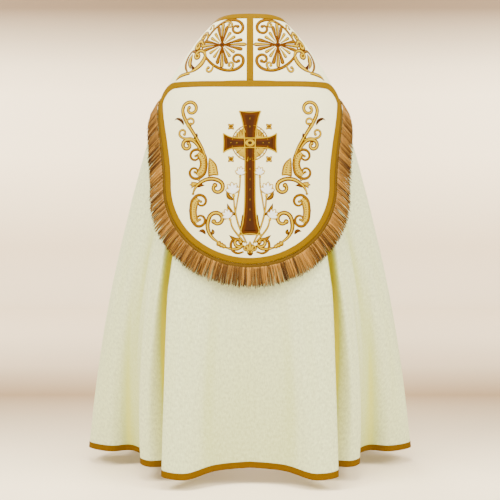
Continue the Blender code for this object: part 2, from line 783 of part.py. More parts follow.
# ---------------------------------------------------------------- the whole cope
def main():
    for thing in list(bpy.data.objects):
        bpy.data.objects.remove(thing, do_unlink=True)
    mantle, band = mantle_sheet(), band_sheet()
    share_seam_normals(mantle, band)
    add_mantle(mantle)
    add_orphrey(band)
    add_band_braids(band)
    add_hem_braid(mantle, band)
    add_hood()
    add_fringe()
    add_morse()


main()
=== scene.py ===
import math
from collections import namedtuple

import bmesh
import bpy
import numpy as np
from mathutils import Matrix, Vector
from bpy.props import FloatProperty, FloatVectorProperty, IntProperty, PointerProperty


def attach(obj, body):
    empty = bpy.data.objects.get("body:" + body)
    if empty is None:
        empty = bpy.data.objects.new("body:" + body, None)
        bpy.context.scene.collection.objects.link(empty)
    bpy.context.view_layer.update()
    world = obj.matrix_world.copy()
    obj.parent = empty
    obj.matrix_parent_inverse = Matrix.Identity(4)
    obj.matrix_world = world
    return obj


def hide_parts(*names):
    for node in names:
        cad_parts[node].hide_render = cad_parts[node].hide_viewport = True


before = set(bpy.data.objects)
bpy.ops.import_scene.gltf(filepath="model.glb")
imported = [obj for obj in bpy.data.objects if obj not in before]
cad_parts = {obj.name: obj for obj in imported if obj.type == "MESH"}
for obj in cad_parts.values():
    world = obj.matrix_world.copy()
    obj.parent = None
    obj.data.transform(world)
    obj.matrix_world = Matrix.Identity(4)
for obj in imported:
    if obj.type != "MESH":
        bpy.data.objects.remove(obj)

bl_info = {
    "name": "Cope vestment",
    "version": (1, 0, 0),
    "blender": (4, 5, 0),
    "location": "View3D > Sidebar > Cope",
    "description": "Dresses a long cope with damask, brocade, braid, embroidery and bullion fringe",
    "category": "Object",
}

# ---------------------------------------------------------------- sizes shared with the solids
NECK_TO_HEM = 1.470
CLOTH = 0.0020
ORPHREY = 0.0024
HOOD = 0.0026
BRAID_WIDTH = 0.019
CENTRE_BRAID = 0.022
BAND_WIDTH = 0.235
SEAM_GAP = 0.0003
CLASP_DROP = 0.285
CORNER_DROP = 0.420
EDGE_GAP_TOP = 0.008
EDGE_GAP_HEM = 0.034
BAND_BOW = 0.010
MIDDLE_DROP = 0.92
FOLD_START = 0.27
FOLD_EASE = 0.30
PANEL_TUCK = 0.0105
SEAM_ANGLE = 149.0
HEM_SHARE = 0.9835
HOOD_TOP = 0.223
HOOD_BOTTOM = 0.806
HOOD_SHOULDER = 0.325
HOOD_WAIST = 0.274
HOOD_WAIST_DROP = 0.553
HOOD_FLARE = 1.6
HOOD_CORNER = 0.070
HOOD_SEATED = 0.0023
HOOD_LIFT = 0.0080
HEADING = 0.012
FRINGE_SLANT = 50.0
MORSE_HALF_WIDTH = 0.072
MORSE_TOP = 0.300
MORSE_BOTTOM = 0.372
MORSE_LIFT = 0.0021
MORSE = 0.0024

# Level sections of the worn form, and the two long edges of the band round the neck.
Section = namedtuple("Section", "drop half_width back front squareness")
SECTIONS = (
    Section(-0.014, 0.100, 0.072, 0.074, 2.0),
    Section(0.000, 0.113, 0.082, 0.086, 2.0),
    Section(0.055, 0.165, 0.111, 0.118, 2.1),
    Section(0.122, 0.215, 0.138, 0.145, 2.2),
    Section(0.173, 0.249, 0.155, 0.160, 2.25),
    Section(0.225, 0.279, 0.171, 0.172, 2.3),
    Section(0.262, 0.298, 0.181, 0.179, 2.3),
    Section(0.306, 0.315, 0.191, 0.186, 2.3),
    Section(0.358, 0.334, 0.202, 0.193, 2.3),
    Section(0.409, 0.349, 0.211, 0.200, 2.3),
    Section(0.495, 0.375, 0.226, 0.212, 2.3),
    Section(0.720, 0.427, 0.264, 0.242, 2.3),
    Section(0.955, 0.476, 0.304, 0.274, 2.3),
    Section(1.210, 0.520, 0.347, 0.308, 2.3),
    Section(1.470, 0.560, 0.392, 0.344, 2.3),
)
NeckStep = namedtuple("NeckStep", "along inner_angle inner_drop outer_drop")
NECK_STEPS = (
    NeckStep(0.00, 0.0, -0.010, 0.236),
    NeckStep(0.10, 20.0, -0.010, 0.236),
    NeckStep(0.25, 38.0, -0.010, 0.238),
    NeckStep(0.50, 70.0, -0.005, 0.246),
    NeckStep(0.70, 101.0, 0.014, 0.268),
    NeckStep(0.85, 134.0, 0.090, 0.315),
    NeckStep(0.94, 158.0, 0.178, 0.368),
    NeckStep(1.00, None, CLASP_DROP, CORNER_DROP),
)

# The folds of one half, from the centre back to the seam of the front band.
Fold = namedtuple("Fold", "name angle mid_x mid_y hem_x hem_y lift steps")
FOLDS = (
    Fold("centre_back", 0, 0.000, 0.274, 0.000, 0.302, 0.020, 3),
    Fold("back_slope", 13, 0.095, 0.277, 0.105, 0.318, 0.014, 3),
    Fold("back_lobe", 27, 0.184, 0.279, 0.205, 0.378, 0.000, 3),
    Fold("panel_edge", 40, 0.257, 0.263, 0.274, 0.362, 0.007, 3),
    Fold("deep_fold", 44, 0.260, 0.190, 0.238, 0.262, 0.014, 3),
    Fold("narrow_roll", 48, 0.300, 0.224, 0.318, 0.272, 0.014, 2),
    Fold("roll_edge", 50.5, 0.326, 0.196, 0.351, 0.238, 0.015, 2),
    Fold("roll_back", 54, 0.348, 0.152, 0.350, 0.135, 0.015, 3),
    Fold("side_hollow", 60, 0.388, 0.114, 0.402, 0.060, 0.017, 3),
    Fold("wing", 72, 0.441, 0.078, 0.468, 0.076, 0.016, 3),
    Fold("side", 88, 0.474, 0.004, 0.556, 0.000, 0.013, 3),
    Fold("side_front", 98, 0.454, -0.072, 0.527, -0.088, 0.010, 2),
    Fold("front_hollow", 108, 0.392, -0.118, 0.440, -0.128, 0.012, 3),
    Fold("front_roll", 117, 0.372, -0.192, 0.432, -0.246, 0.004, 3),
    Fold("front_pleat", 126, 0.318, -0.188, 0.352, -0.208, 0.010, 3),
    Fold("front_lobe", 137, 0.288, -0.232, 0.326, -0.304, 0.002, 3),
)

# ---------------------------------------------------------------- sizes of this dressing
MM = 0.001
FOLD_FINENESS = 5  # columns of the mantle for each step of a fold
MANTLE_ROWS = 64
TUCK_START = 0.54  # share of the drop where the back panel's edge begins to tuck in
# Painted shade on the mantle: how strongly its hollows, creases, sides, the recess beside the back
# panel and the hem lean towards the shade colours.
SIDEWAYS_PAINTED_SHADE = 0.1  # painted shade where the cloth faces straight sideways
CREASE_PAINTED_SHADE = 45  # painted shade for each metre of a crease's depth
# a little painted shade towards the hem
HEM_PAINTED_SHADE = 0.07
PANEL_PLACE = 1.26  # place across the mantle where the deep fold begins
RECESS_TOP = 0.30  # reach of the painted shade in the deep fold's recess, in places
RECESS_HEM = 0.16
RECESS_NARROWING = 1.8  # power that draws that painted shade together towards the hem
# strength of the recess's painted shade at the hem
RECESS_HEM_PAINTED_SHADE = 0.84
HOLLOWS = ((0.035, 0.016), (0.08, 0.05))  # reach, and the depth at which a hollow takes the full painted shade
CENTRE_TOP = 0.006
CENTRE_FOOT = 0.218
CORNER_FULLNESS = 0.35  # how much wider the hood's braid is round its top corners
CORNER_REACH = 0.06
FRINGE_SHARE = 0.0496  # share of the outline from the corner down that has no fringe
FRINGE_SINK = 0.0028  # how far the strands sink back towards the mantle
STRAND_TURN = np.linspace(0, 2 * np.pi, 6)[:-1]
# How much strands differ: in slant (radians), length (share), sway and height (metres).
SLANT_SPREAD = 0.012
LENGTH_SPREAD = 0.045
SWAY_SPREAD = 0.0006
HEIGHT_SPREAD = 0.0002
THICKNESS_RANGE = (0.85, 1.12)
# How much bundles differ, in slant (radians) and height (metres), and their tones.
BUNDLE_SPREADS = (0.03, 0.0006)
NEW_BUNDLE = 0.55  # chance that a strand starts a new bundle
DARK_BUNDLE = 0.36  # chance that a bundle is dark
DARK_TONE = 0.12
LIGHT_TONES = (0.4, 0.9)
# Each layer of strands: how far it is shifted along the outline, how far outside it its
# roots lie, how far above the hood's face, and how bright it is; the lower layer is
# painted darker, as shade under the first.
Layer = namedtuple("Layer", "shift out lift brightness")
LAYERS = (Layer(0.0, 0.0028, 0.0012, 1.0), Layer(0.0014, 0.0058, 0.0003, 0.55))
BRAID_STATIONS = 873
HEADING_HALF_THICKNESS = 0.0013
HEADING_CHEVRON = 0.0024


# ---------------------------------------------------------------- curves through tables
def monotone(knots, values):
    """A smooth curve through a table that never overshoots it, for numbers or arrays."""
    knots, values = np.array(knots, float), np.array(values, float)
    spans = np.diff(knots)
    slopes = np.diff(values) / spans
    tangents = np.concatenate([slopes[:1], np.zeros(len(slopes) - 1), slopes[-1:]])
    for i in range(1, len(slopes)):
        left, right, before, after = spans[i - 1], spans[i], slopes[i - 1], slopes[i]
        if before * after > 0:
            one, two = 2 * right + left, right + 2 * left
            tangents[i] = (one + two) / (one / before + two / after)

    def curve(x):
        return hermite(np.clip(x, knots[0], knots[-1]), knots, values, tangents)

    return curve


def flowing(knots, points):
    """A smooth curve through plan points; it may swing past them, as cloth does."""
    knots, points = np.array(knots, float), np.array(points, float)
    spans = np.diff(knots)
    slopes = np.diff(points, axis=0) / spans[:, None]
    left, right = spans[:-1, None], spans[1:, None]
    inner = (slopes[:-1] * right + slopes[1:] * left) / (left + right)
    tangents = np.concatenate([slopes[:1], inner, slopes[-1:]])
    return lambda x: hermite(x, knots, points, tangents)


def hermite(x, knots, values, tangents):
    """The cubic that runs through the values with these tangents, read at x."""
    x = np.asarray(x, float)
    i = np.searchsorted(knots[1:-1], x, side="right")
    h = knots[i + 1] - knots[i]
    s = (x - knots[i]) / h
    if values.ndim > 1:
        h, s = h[..., None], s[..., None]
    return (
        values[i] * (1 + 2 * s) * (1 - s) ** 2
        + tangents[i] * h * s * (1 - s) ** 2
        + values[i + 1] * s * s * (3 - 2 * s)
        + tangents[i + 1] * h * s * s * (s - 1)
    )


def running_length(points):
    """The length run along a line of points, at each of them."""
    return np.concatenate([[0], np.cumsum(np.linalg.norm(np.diff(points, axis=0), axis=1))])


def mix(a, b, share):
    """a at share 0, b at share 1, and evenly between."""
    return a + (b - a) * share


def ease(x):
    """0 to 1, with a level start and end."""
    x = np.clip(x, 0.0, 1.0)
    return x * x * (3 - 2 * x)


# ---------------------------------------------------------------- the worn form
DROPS = [row.drop for row in SECTIONS]
half_width_at = monotone(DROPS, [row.half_width for row in SECTIONS])
back_at = monotone(DROPS, [row.back for row in SECTIONS])
front_at = monotone(DROPS, [row.front for row in SECTIONS])
squareness_at = monotone(DROPS, [row.squareness for row in SECTIONS])


def bell(angle, drop):
    """Points of the smooth worn form, by degrees round from the centre back and depth."""
    angle, drop = np.broadcast_arrays(np.asarray(angle, float), np.asarray(drop, float))
    side, along = np.sin(np.radians(angle)), np.cos(np.radians(angle))
    depth = np.where(along > 0, back_at(drop), front_at(drop))
    power = squareness_at(drop)
    reach = (
        np.abs(side / half_width_at(drop)) ** power + np.abs(along / depth) ** power
    ) ** (-1 / power)
    return np.stack([reach * side, reach * along, -drop], -1)


def front_angle_at(x, drop):
    """How far round the bell's front is x from the middle, at this depth."""
    x, drop = np.broadcast_arrays(np.asarray(x, float), np.asarray(drop, float))
    low, high = np.full(x.shape, 90.0), np.full(x.shape, 180.0)
    for _ in range(40):
        middle = (low + high) / 2
        beyond = bell(middle, drop)[..., 0] > x
        low, high = np.where(beyond, middle, low), np.where(beyond, high, middle)
    return (low + high) / 2


def edge_x(drop):
    """How far a front edge is from the middle."""
    share = (drop - CLASP_DROP) / (NECK_TO_HEM - CLASP_DROP)
    return mix(EDGE_GAP_TOP, EDGE_GAP_HEM, share)


def seam_angle_at(drop):
    """How far round the seam of band and mantle is, at this depth."""
    return front_angle_at(edge_x(drop) + BAND_WIDTH, drop)


class Chart:
    """A smooth surface as a grid of points, read at any place and height above it."""

    def __init__(self, us, vs, points, outward=1.0):
        self.us, self.vs, self.points = us, vs, points
        across = np.gradient(points, us, axis=1)
        down = np.gradient(points, vs, axis=0)
        normals = np.cross(across, down) * outward
        lengths = np.linalg.norm(normals, axis=-1, keepdims=True)
        self.normals = normals / np.maximum(lengths, 1e-9)

    def at(self, u, v, height=0.0):
        lift = self.read(self.normals, u, v) * np.asarray(height)[..., None]
        return self.read(self.points, u, v) + lift

    def read(self, grid, u, v):
        u, v = np.broadcast_arrays(np.asarray(u, float), np.asarray(v, float))
        i = np.clip(np.searchsorted(self.us, u, side="right") - 1, 0, len(self.us) - 2)
        j = np.clip(np.searchsorted(self.vs, v, side="right") - 1, 0, len(self.vs) - 2)
        s = ((u - self.us[i]) / (self.us[i + 1] - self.us[i]))[..., None]
        t = ((v - self.vs[j]) / (self.vs[j + 1] - self.vs[j]))[..., None]
        top = mix(grid[j, i], grid[j, i + 1], s)
        return mix(top, mix(grid[j + 1, i], grid[j + 1, i + 1], s), t)


def two_sided(us, points):
    """Columns that start at the centre back, with the other half put before them."""
    other = points[:, :0:-1] * np.array([-1, 1, 1])
    return np.concatenate([-us[:0:-1], us]), np.concatenate([other, points], axis=1)


# ---------------------------------------------------------------- the orphrey band
CORNER_ANGLE = float(seam_angle_at(CORNER_DROP))
ALONG = [row.along for row in NECK_STEPS]
CLASP_ANGLE = float(front_angle_at(EDGE_GAP_TOP, CLASP_DROP))
inner_angle_at = monotone(ALONG, [row.inner_angle for row in NECK_STEPS[:-1]] + [CLASP_ANGLE])
inner_drop_at = monotone(ALONG, [row.inner_drop for row in NECK_STEPS])
outer_drop_at = monotone(ALONG, [row.outer_drop for row in NECK_STEPS])
BAND_HEM = NECK_TO_HEM - FOLDS[-1].lift


def band_points(along, share):
    """Points of the left band: along is 0 at the centre back, 1 at the clasp, 2 at the hem."""
    neck = along <= 1
    down = np.clip(along - 1, 0, 1)
    inner_drop = np.where(neck, inner_drop_at(along), mix(CLASP_DROP, BAND_HEM, down))
    outer_drop = np.where(neck, outer_drop_at(along), mix(CORNER_DROP, BAND_HEM, down))
    inner_angle = np.where(
        neck, inner_angle_at(along), front_angle_at(edge_x(inner_drop), inner_drop)
    )
    outer_angle = np.where(neck, along * CORNER_ANGLE, seam_angle_at(outer_drop))
    points = bell(mix(inner_angle, outer_angle, share), mix(inner_drop, outer_drop, share))
    points[..., 1] += BAND_BOW * down * np.sin(np.pi * share)
    return points


def band_chart():
    stations = np.concatenate([np.linspace(0, 1, 161), np.linspace(1, 2, 241)[1:]])
    shares = np.linspace(0, 1, 41)
    columns, points = two_sided(stations, band_points(stations[None, :], shares[:, None]))
    return Chart(columns, shares, points)


# ---------------------------------------------------------------- the mantle and its folds
def seam_target(drop):
    """Where the mantle has to meet the band in plan, at this depth."""
    return tuple(bell(seam_angle_at(drop), drop)[:2])


FOLD_HEM = [(row.hem_x, row.hem_y) for row in FOLDS] + [seam_target(NECK_TO_HEM)]
FOLD_MIDDLE = [(row.mid_x, row.mid_y) for row in FOLDS] + [seam_target(MIDDLE_DROP)]
FOLD_KNOTS = [0.0]
for here, there in zip(FOLD_HEM, FOLD_HEM[1:]):
    FOLD_KNOTS.append(FOLD_KNOTS[-1] + math.sqrt(math.dist(here, there)))
WHOLE_KNOTS = [-FOLD_KNOTS[1]] + FOLD_KNOTS
hem_plan = flowing(WHOLE_KNOTS, [(-FOLD_HEM[1][0], FOLD_HEM[1][1])] + FOLD_HEM)
middle_plan = flowing(WHOLE_KNOTS, [(-FOLD_MIDDLE[1][0], FOLD_MIDDLE[1][1])] + FOLD_MIDDLE)
fold_angle = monotone(FOLD_KNOTS, [row.angle for row in FOLDS] + [SEAM_ANGLE])
fold_lift = monotone(FOLD_KNOTS, [row.lift for row in FOLDS] + [FOLDS[-1].lift])


def mantle_points(place, share):
    """Points of the mantle's left half: place along the fold knots, share of the way down."""
    sewn = fold_angle(place) / SEAM_ANGLE
    top = outer_drop_at(sewn)
    drop = mix(top, NECK_TO_HEM - fold_lift(place), share)
    front_drop = mix(CORNER_DROP, BAND_HEM, share)
    base = bell(sewn * seam_angle_at(front_drop), drop)
    middle_bell = bell(sewn * seam_angle_at(MIDDLE_DROP), MIDDLE_DROP)[..., :2]
    hem_bell = bell(sewn * seam_angle_at(NECK_TO_HEM), NECK_TO_HEM)[..., :2]
    start = np.maximum(FOLD_START, top)
    down = np.maximum(drop - start, 0) / (NECK_TO_HEM - start)
    middle = (MIDDLE_DROP - start) / (NECK_TO_HEM - start)
    middle_part = down * (1 - down) / (middle * (1 - middle)) * ease(down / FOLD_EASE)
    hem_part = down * (down - middle) / (1 - middle) * ease(down / FOLD_EASE)
    base[..., :2] += (middle_plan(place) - middle_bell) * middle_part[..., None]
    base[..., :2] += (hem_plan(place) - hem_bell) * hem_part[..., None]
    base[..., 0] -= PANEL_TUCK * panel_tuck(place, share)
    return base


def panel_tuck(place, share):
    """How much of the tuck the edge of the back panel takes: most of it at the knees."""
    lobe, edge, deep, roll = FOLD_KNOTS[2:6]
    near = ease((place - lobe) / (edge - lobe)) * (1 - ease((place - deep) / (roll - deep)))
    return near * np.sin(np.pi * np.clip((share - TUCK_START) / (1 - TUCK_START), 0, 1))


def mantle_chart():
    places = [0.0]
    for fold, a, b in zip(FOLDS, FOLD_KNOTS, FOLD_KNOTS[1:]):
        count = fold.steps * FOLD_FINENESS
        places += [mix(a, b, i / count) for i in range(1, count + 1)]
    places = np.array(places)
    shares = np.concatenate([np.linspace(0, HEM_SHARE, MANTLE_ROWS), [1.0]])
    columns, points = two_sided(places, mantle_points(places[None, :], shares[:, None]))
    return Chart(columns, shares, points)


# ---------------------------------------------------------------- the hood
def back_points(arcs, drops):
    """Points of the bell by metres round from the centre back and depth, as rows of drops."""
    angles = np.arange(0.0, 152.0, 2.0)
    rows = []
    for drop in drops:
        section = bell(angles, drop)
        rows.append(bell(monotone(running_length(section), angles)(arcs), drop))
    return np.array(rows)


def back_chart():
    arcs, drops = np.linspace(0, 0.46, 93), np.linspace(-0.014, 0.90, 184)
    columns, points = two_sided(arcs, back_points(arcs, drops))
    return Chart(columns, drops, points)


def hood_lift(arc, drop):
    """How far the hood stands off the back: seated under its top edge, free beyond it."""
    away = np.maximum(ease(np.abs(arc) / 0.20), ease((drop - HOOD_TOP) / 0.12))
    return mix(HOOD_SEATED, HOOD_LIFT, away)


def hood_half_width(drop):
    """Half the hood's width along the cloth, at this depth."""
    side_top = HOOD_TOP + HOOD_CORNER
    rise = np.clip(side_top - drop, 0, HOOD_CORNER)
    corner = np.sqrt(np.maximum(HOOD_CORNER**2 - rise**2, 0)) - HOOD_CORNER
    left = np.clip((HOOD_WAIST_DROP - drop) / (HOOD_WAIST_DROP - side_top), 0, 1)
    side = HOOD_WAIST + (HOOD_SHOULDER - HOOD_WAIST) * left**HOOD_FLARE
    low = np.clip((drop - HOOD_WAIST_DROP) / (HOOD_BOTTOM - HOOD_WAIST_DROP), 0, 1)
    return side * np.sqrt(1 - low**2) + corner


def hood_outline(steps=120):
    """One half of the outline, from the middle of the top edge to the bottom."""
    turn = np.linspace(0, np.pi / 2, steps + 1)[1:]
    side_top = HOOD_TOP + HOOD_CORNER
    top = np.linspace((0, HOOD_TOP), (HOOD_SHOULDER - HOOD_CORNER, HOOD_TOP), steps)
    corner_x = HOOD_SHOULDER + (np.sin(turn) - 1) * HOOD_CORNER
    corner = np.stack([corner_x, HOOD_TOP + (1 - np.cos(turn)) * HOOD_CORNER], -1)
    side_drop = np.linspace(side_top, HOOD_WAIST_DROP, steps + 1)[1:]
    side = np.stack([hood_half_width(side_drop), side_drop], -1)
    deep = HOOD_WAIST_DROP + (HOOD_BOTTOM - HOOD_WAIST_DROP) * np.sin(turn)
    bottom = np.stack([HOOD_WAIST * np.cos(turn), deep], -1)
    return np.concatenate([top, corner, side, bottom])


OUTLINE = hood_outline()
OUTLINE_LENGTHS = running_length(OUTLINE)
OUTLINE_END = OUTLINE_LENGTHS[-1]
CORNER_MIDDLE = HOOD_SHOULDER - HOOD_CORNER + HOOD_CORNER * math.pi / 4
FRINGE_START = mix(CORNER_MIDDLE, OUTLINE_END, FRINGE_SHARE)


def on_outline(length, out=0.0):
    """Places on the hood's left outline, or out metres outside it, and the way straight out."""
    def spot(x):
        x = np.clip(x, 0, OUTLINE_END)
        return np.stack([np.interp(x, OUTLINE_LENGTHS, OUTLINE[:, k]) for k in (0, 1)], -1)

    run = spot(length + 0.002) - spot(length - 0.002)
    outwards = np.stack([run[..., 1], -run[..., 0]], -1)
    outwards /= np.linalg.norm(outwards, axis=-1, keepdims=True)
    return spot(length) + outwards * np.asarray(out)[..., None], outwards


BAND = band_chart()
MANTLE = mantle_chart()
BACK = back_chart()
BACK_GRID = np.meshgrid(BACK.us, BACK.vs)
HOOD_FACE = Chart(BACK.us, BACK.vs, BACK.at(*BACK_GRID, hood_lift(*BACK_GRID) + HOOD))


def front_chart():
    """The chest, by metres from the middle and depth."""
    xs, drops = np.linspace(-0.10, 0.10, 81), np.linspace(0.27, 0.40, 40)
    across, down = np.meshgrid(xs, drops)
    points = bell(front_angle_at(np.abs(across), down), down)
    points[..., 0] *= np.where(across < 0, -1, 1)
    return Chart(xs, drops, points, -1.0)


FRONT = front_chart()
FRONT_GRID = np.meshgrid(FRONT.us, FRONT.vs)
MORSE_FACE = Chart(FRONT.us, FRONT.vs, FRONT.at(*FRONT_GRID, MORSE_LIFT + MORSE), -1.0)
BAND_ALONG = np.concatenate([np.linspace(0, 1, 101), np.linspace(1, 2, 151)[1:]])
BAND_LENGTHS = running_length(band_points(BAND_ALONG, 0.5))


def band_width(along):
    """The band's width in metres, at a place along it."""
    return np.linalg.norm(band_points(along, 1.0) - band_points(along, 0.0), axis=-1)


# ---------------------------------------------------------------- making meshes
def new_object(name, mesh, material):
    """An object from a finished bmesh, with smooth faces."""
    data = bpy.data.meshes.new(name)
    mesh.to_mesh(data)
    mesh.free()
    data.shade_smooth()
    data.materials.append(material)
    made = bpy.data.objects.new(name, data)
    bpy.context.scene.collection.objects.link(made)
    return made


def grid_object(name, points, uvs, material, thickness, floats=None, flip=False):
    """A sheet: a grid whose vertices are moved to rows of points, with its UV map in metres."""
    rows, columns = points.shape[:2]
    mesh = bmesh.new()
    bmesh.ops.create_grid(mesh, x_segments=columns - 1, y_segments=rows - 1, size=1.0)
    made = new_object(name, mesh, material)
    data = made.data
    data.vertices.foreach_set("co", points.reshape(-1))
    corners = np.empty(len(data.loops), np.int32)
    data.loops.foreach_get("vertex_index", corners)
    layer = data.uv_layers.new(name="UVMap")
    layer.data.foreach_set("uv", uvs.reshape(-1, 2)[corners].astype(np.float32).reshape(-1))
    for key, values in (floats or {}).items():
        attribute = data.attributes.new(key, "FLOAT", "POINT")
        attribute.data.foreach_set("value", values.reshape(-1).astype(np.float32))
    if flip:
        data.flip_normals()
    data.update()
    solidify = made.modifiers.new("Thickness", "SOLIDIFY")
    solidify.thickness = thickness
    solidify.offset = -1.0
    return made


def lengths_along(points, axis):
    """Running length of a grid of points along one axis."""
    steps = np.linalg.norm(np.diff(points, axis=axis), axis=-1)
    pad = [(0, 0), (0, 0)]
    pad[axis] = (1, 0)
    return np.cumsum(np.pad(steps, pad), axis=axis)


def cloth_uvs(points):
    """UV in metres: round the middle row and down the columns, from the middle."""
    across = lengths_along(points, 1)
    across = across - across[:, points.shape[1] // 2][:, None]
    return np.stack([across, -lengths_along(points, 0)], -1)


def padded_profile(columns):
    """A stroke's section: places across and heights, over the top and back underneath."""
    turn = np.linspace(np.pi, 0, columns)
    top = np.stack([np.cos(turn), np.sin(turn) ** 0.8], -1)
    under = np.stack([np.cos(turn[-2:0:-1]), np.full(columns - 2, -0.25)], -1)
    return np.concatenate([top, under])


def woven_profile(ribs):
    """A braid's section: a flat strip with rounded edges and a few ribs along it."""
    across = np.linspace(-1, 1, 2 * ribs + 1)
    lift = np.where(np.arange(2 * ribs + 1) % 2 == 1, 1.0, 0.72)
    lift[0] = lift[-1] = 0.35
    top = np.stack([across, lift], -1)
    edge = np.array([[1.0, 0.0]])
    under = np.stack([across[-2:0:-1], np.zeros(2 * ribs - 1)], -1)
    return np.concatenate([top, edge, under, [[-1.0, 0.0]]])


class Needlework:
    """Closed tubes of any section laid on the cloth, gathered in one mesh."""

    def __init__(self):
        self.mesh = bmesh.new()
        floats = self.mesh.verts.layers.float
        self.along, self.across, self.tone = (floats.new(k) for k in ("along", "across", "tone"))

    def tube(self, rings, along, across, tone, looped=False):
        """Rings of points round a tube, closed at both ends or joined into a loop."""
        if looped:
            rings = np.concatenate([rings, rings[:1]])
            along = np.concatenate([along, [2 * along[-1] - along[-2]]])
        else:
            first, last = rings[:1].mean(1, keepdims=True), rings[-1:].mean(1, keepdims=True)
            ends = [np.broadcast_to(end, rings[:1].shape) for end in (first, last)]
            rings = np.concatenate([ends[0], rings, ends[1]])
            along = np.concatenate([along[:1], along, along[-1:]])
        rings = np.concatenate([rings, rings[:, :1]], axis=1)
        across = np.concatenate([across, across[:1]])
        rows, columns = rings.shape[:2]
        made = bmesh.ops.create_grid(
            self.mesh, x_segments=columns - 1, y_segments=rows - 1, size=1.0
        )["verts"]
        places = rings.reshape(-1, 3).tolist()
        runs = np.repeat(along, columns).tolist()
        sides = np.tile(across, rows).tolist()
        for vertex, place, run, side in zip(made, places, runs, sides):
            vertex.co = place
            vertex[self.along] = run
            vertex[self.across] = side
            vertex[self.tone] = tone

    def stroke(self, chart, stroke, scale=1.0, flip=False, place=None):
        """A padded stroke that follows a line of places on a chart."""
        line, half_width = stroke.line, stroke.half_width
        run = np.gradient(line, axis=0)
        run /= np.maximum(np.linalg.norm(run, axis=1, keepdims=True), 1e-9)
        side = np.stack([-run[:, 1], run[:, 0]], -1)
        profile = padded_profile(stroke.columns)
        spread = half_width[:, None] * profile[:, 0]
        spots = line[:, None, :] + side[:, None, :] * spread[..., None]
        if flip:
            spots = spots * np.array([-1, 1])
        u, v = spots[..., 0], spots[..., 1]
        if place:
            u, v = place(u, v)
        rise = np.minimum(stroke.height, half_width * 1.1)[:, None] * profile[:, 1] * scale
        self.tube(chart.at(u, v, rise), running_length(line), profile[:, 0], stroke.tone)

    def braid(self, rings, profile, looped=False):
        """A braid through rings of points, all in one tone."""
        self.tube(rings, running_length(rings.mean(axis=1)), profile[:, 0], 0.5, looped)

    def finish(self, name, material):
        """The object that holds all the tubes, with faces that point outwards."""
        bmesh.ops.remove_doubles(self.mesh, verts=self.mesh.verts, dist=1e-7)
        bmesh.ops.recalc_face_normals(self.mesh, faces=self.mesh.faces)
        return new_object(name, self.mesh, material)


# ---------------------------------------------------------------- embroidery strokes
# A stroke is a line of places with a half width at each, a height, a thread tone and the
# number of columns across it. Tones: 0 white, 0.25 pale gold, 0.45 gold, 0.6 amber,
# 0.8 copper brown, 1 dark brown. The bars of the cross lie between the last two.
Stroke = namedtuple("Stroke", "line half_width height tone columns")
WHITE, PALE, GOLD, AMBER, COPPER, DARK = 0.0, 0.25, 0.45, 0.6, 0.8, 1.0
BROWN = 0.88


def flow(x, y, heading, *legs, step=3.0):
    """A flowing line in millimetres. Each leg is a length, how far it turns in degrees, and
    how late in the leg the turn comes: 1 is an even bend, more winds up towards the end."""
    points = [(x, y)]
    for length, turn, late in legs:
        count = max(int(length / step), 5)
        for i in range(count):
            angle = math.radians(heading + turn * ((i + 0.5) / count) ** late)
            x += math.cos(angle) * length / count
            y += math.sin(angle) * length / count
            points.append((x, y))
        heading += turn
    return np.array(points) * MM


def stem(line, width, tone, start=0.5, end=0.5, height=1.0, columns=4):
    """A stem or scroll, slimmer at both ends."""
    s = np.linspace(0, 1, len(line))
    swell = mix(start, end, s) + (1 - mix(start, end, s)) * np.sin(np.pi * s) ** 0.8
    return Stroke(line, width * MM / 2 * swell, height * MM, tone, columns)


def leaf(line, width, tone, fullest=0.45, height=0.9, columns=5):
    """A leaf or petal with both ends pointed."""
    s = np.linspace(0, 1, len(line)) ** (math.log(0.5) / math.log(fullest))
    swell = np.maximum(np.sin(np.pi * s), 0.03) ** 0.9
    return Stroke(line, width * MM / 2 * swell, height * MM, tone, columns)


def rod(x, y, heading, length, width, tone, root=0.35, columns=5):
    """A straight rod that widens to a round tip."""
    s = np.sin(np.linspace(0, np.pi / 2, 12))
    way = np.array([math.cos(math.radians(heading)), math.sin(math.radians(heading))])
    line = (np.array([x, y]) + length * s[:, None] * way) * MM
    swell = mix(root, 1, s**1.2) * np.sqrt(np.maximum(1 - s**14, 0.01))
    return Stroke(line, width * MM / 2 * swell, 0.9 * MM, tone, columns)


def disc(x, y, radius, tone, height=1.4, columns=5):
    """A round padded spot."""
    t = np.cos(np.linspace(np.pi, 0, 11 if radius < 8 else 25))
    line = np.stack([x + radius * t, np.full(len(t), float(y))], -1) * MM
    swell = np.sqrt(np.maximum(1 - t**2, 0.01))
    return Stroke(line, radius * MM * swell, height * MM, tone, columns)


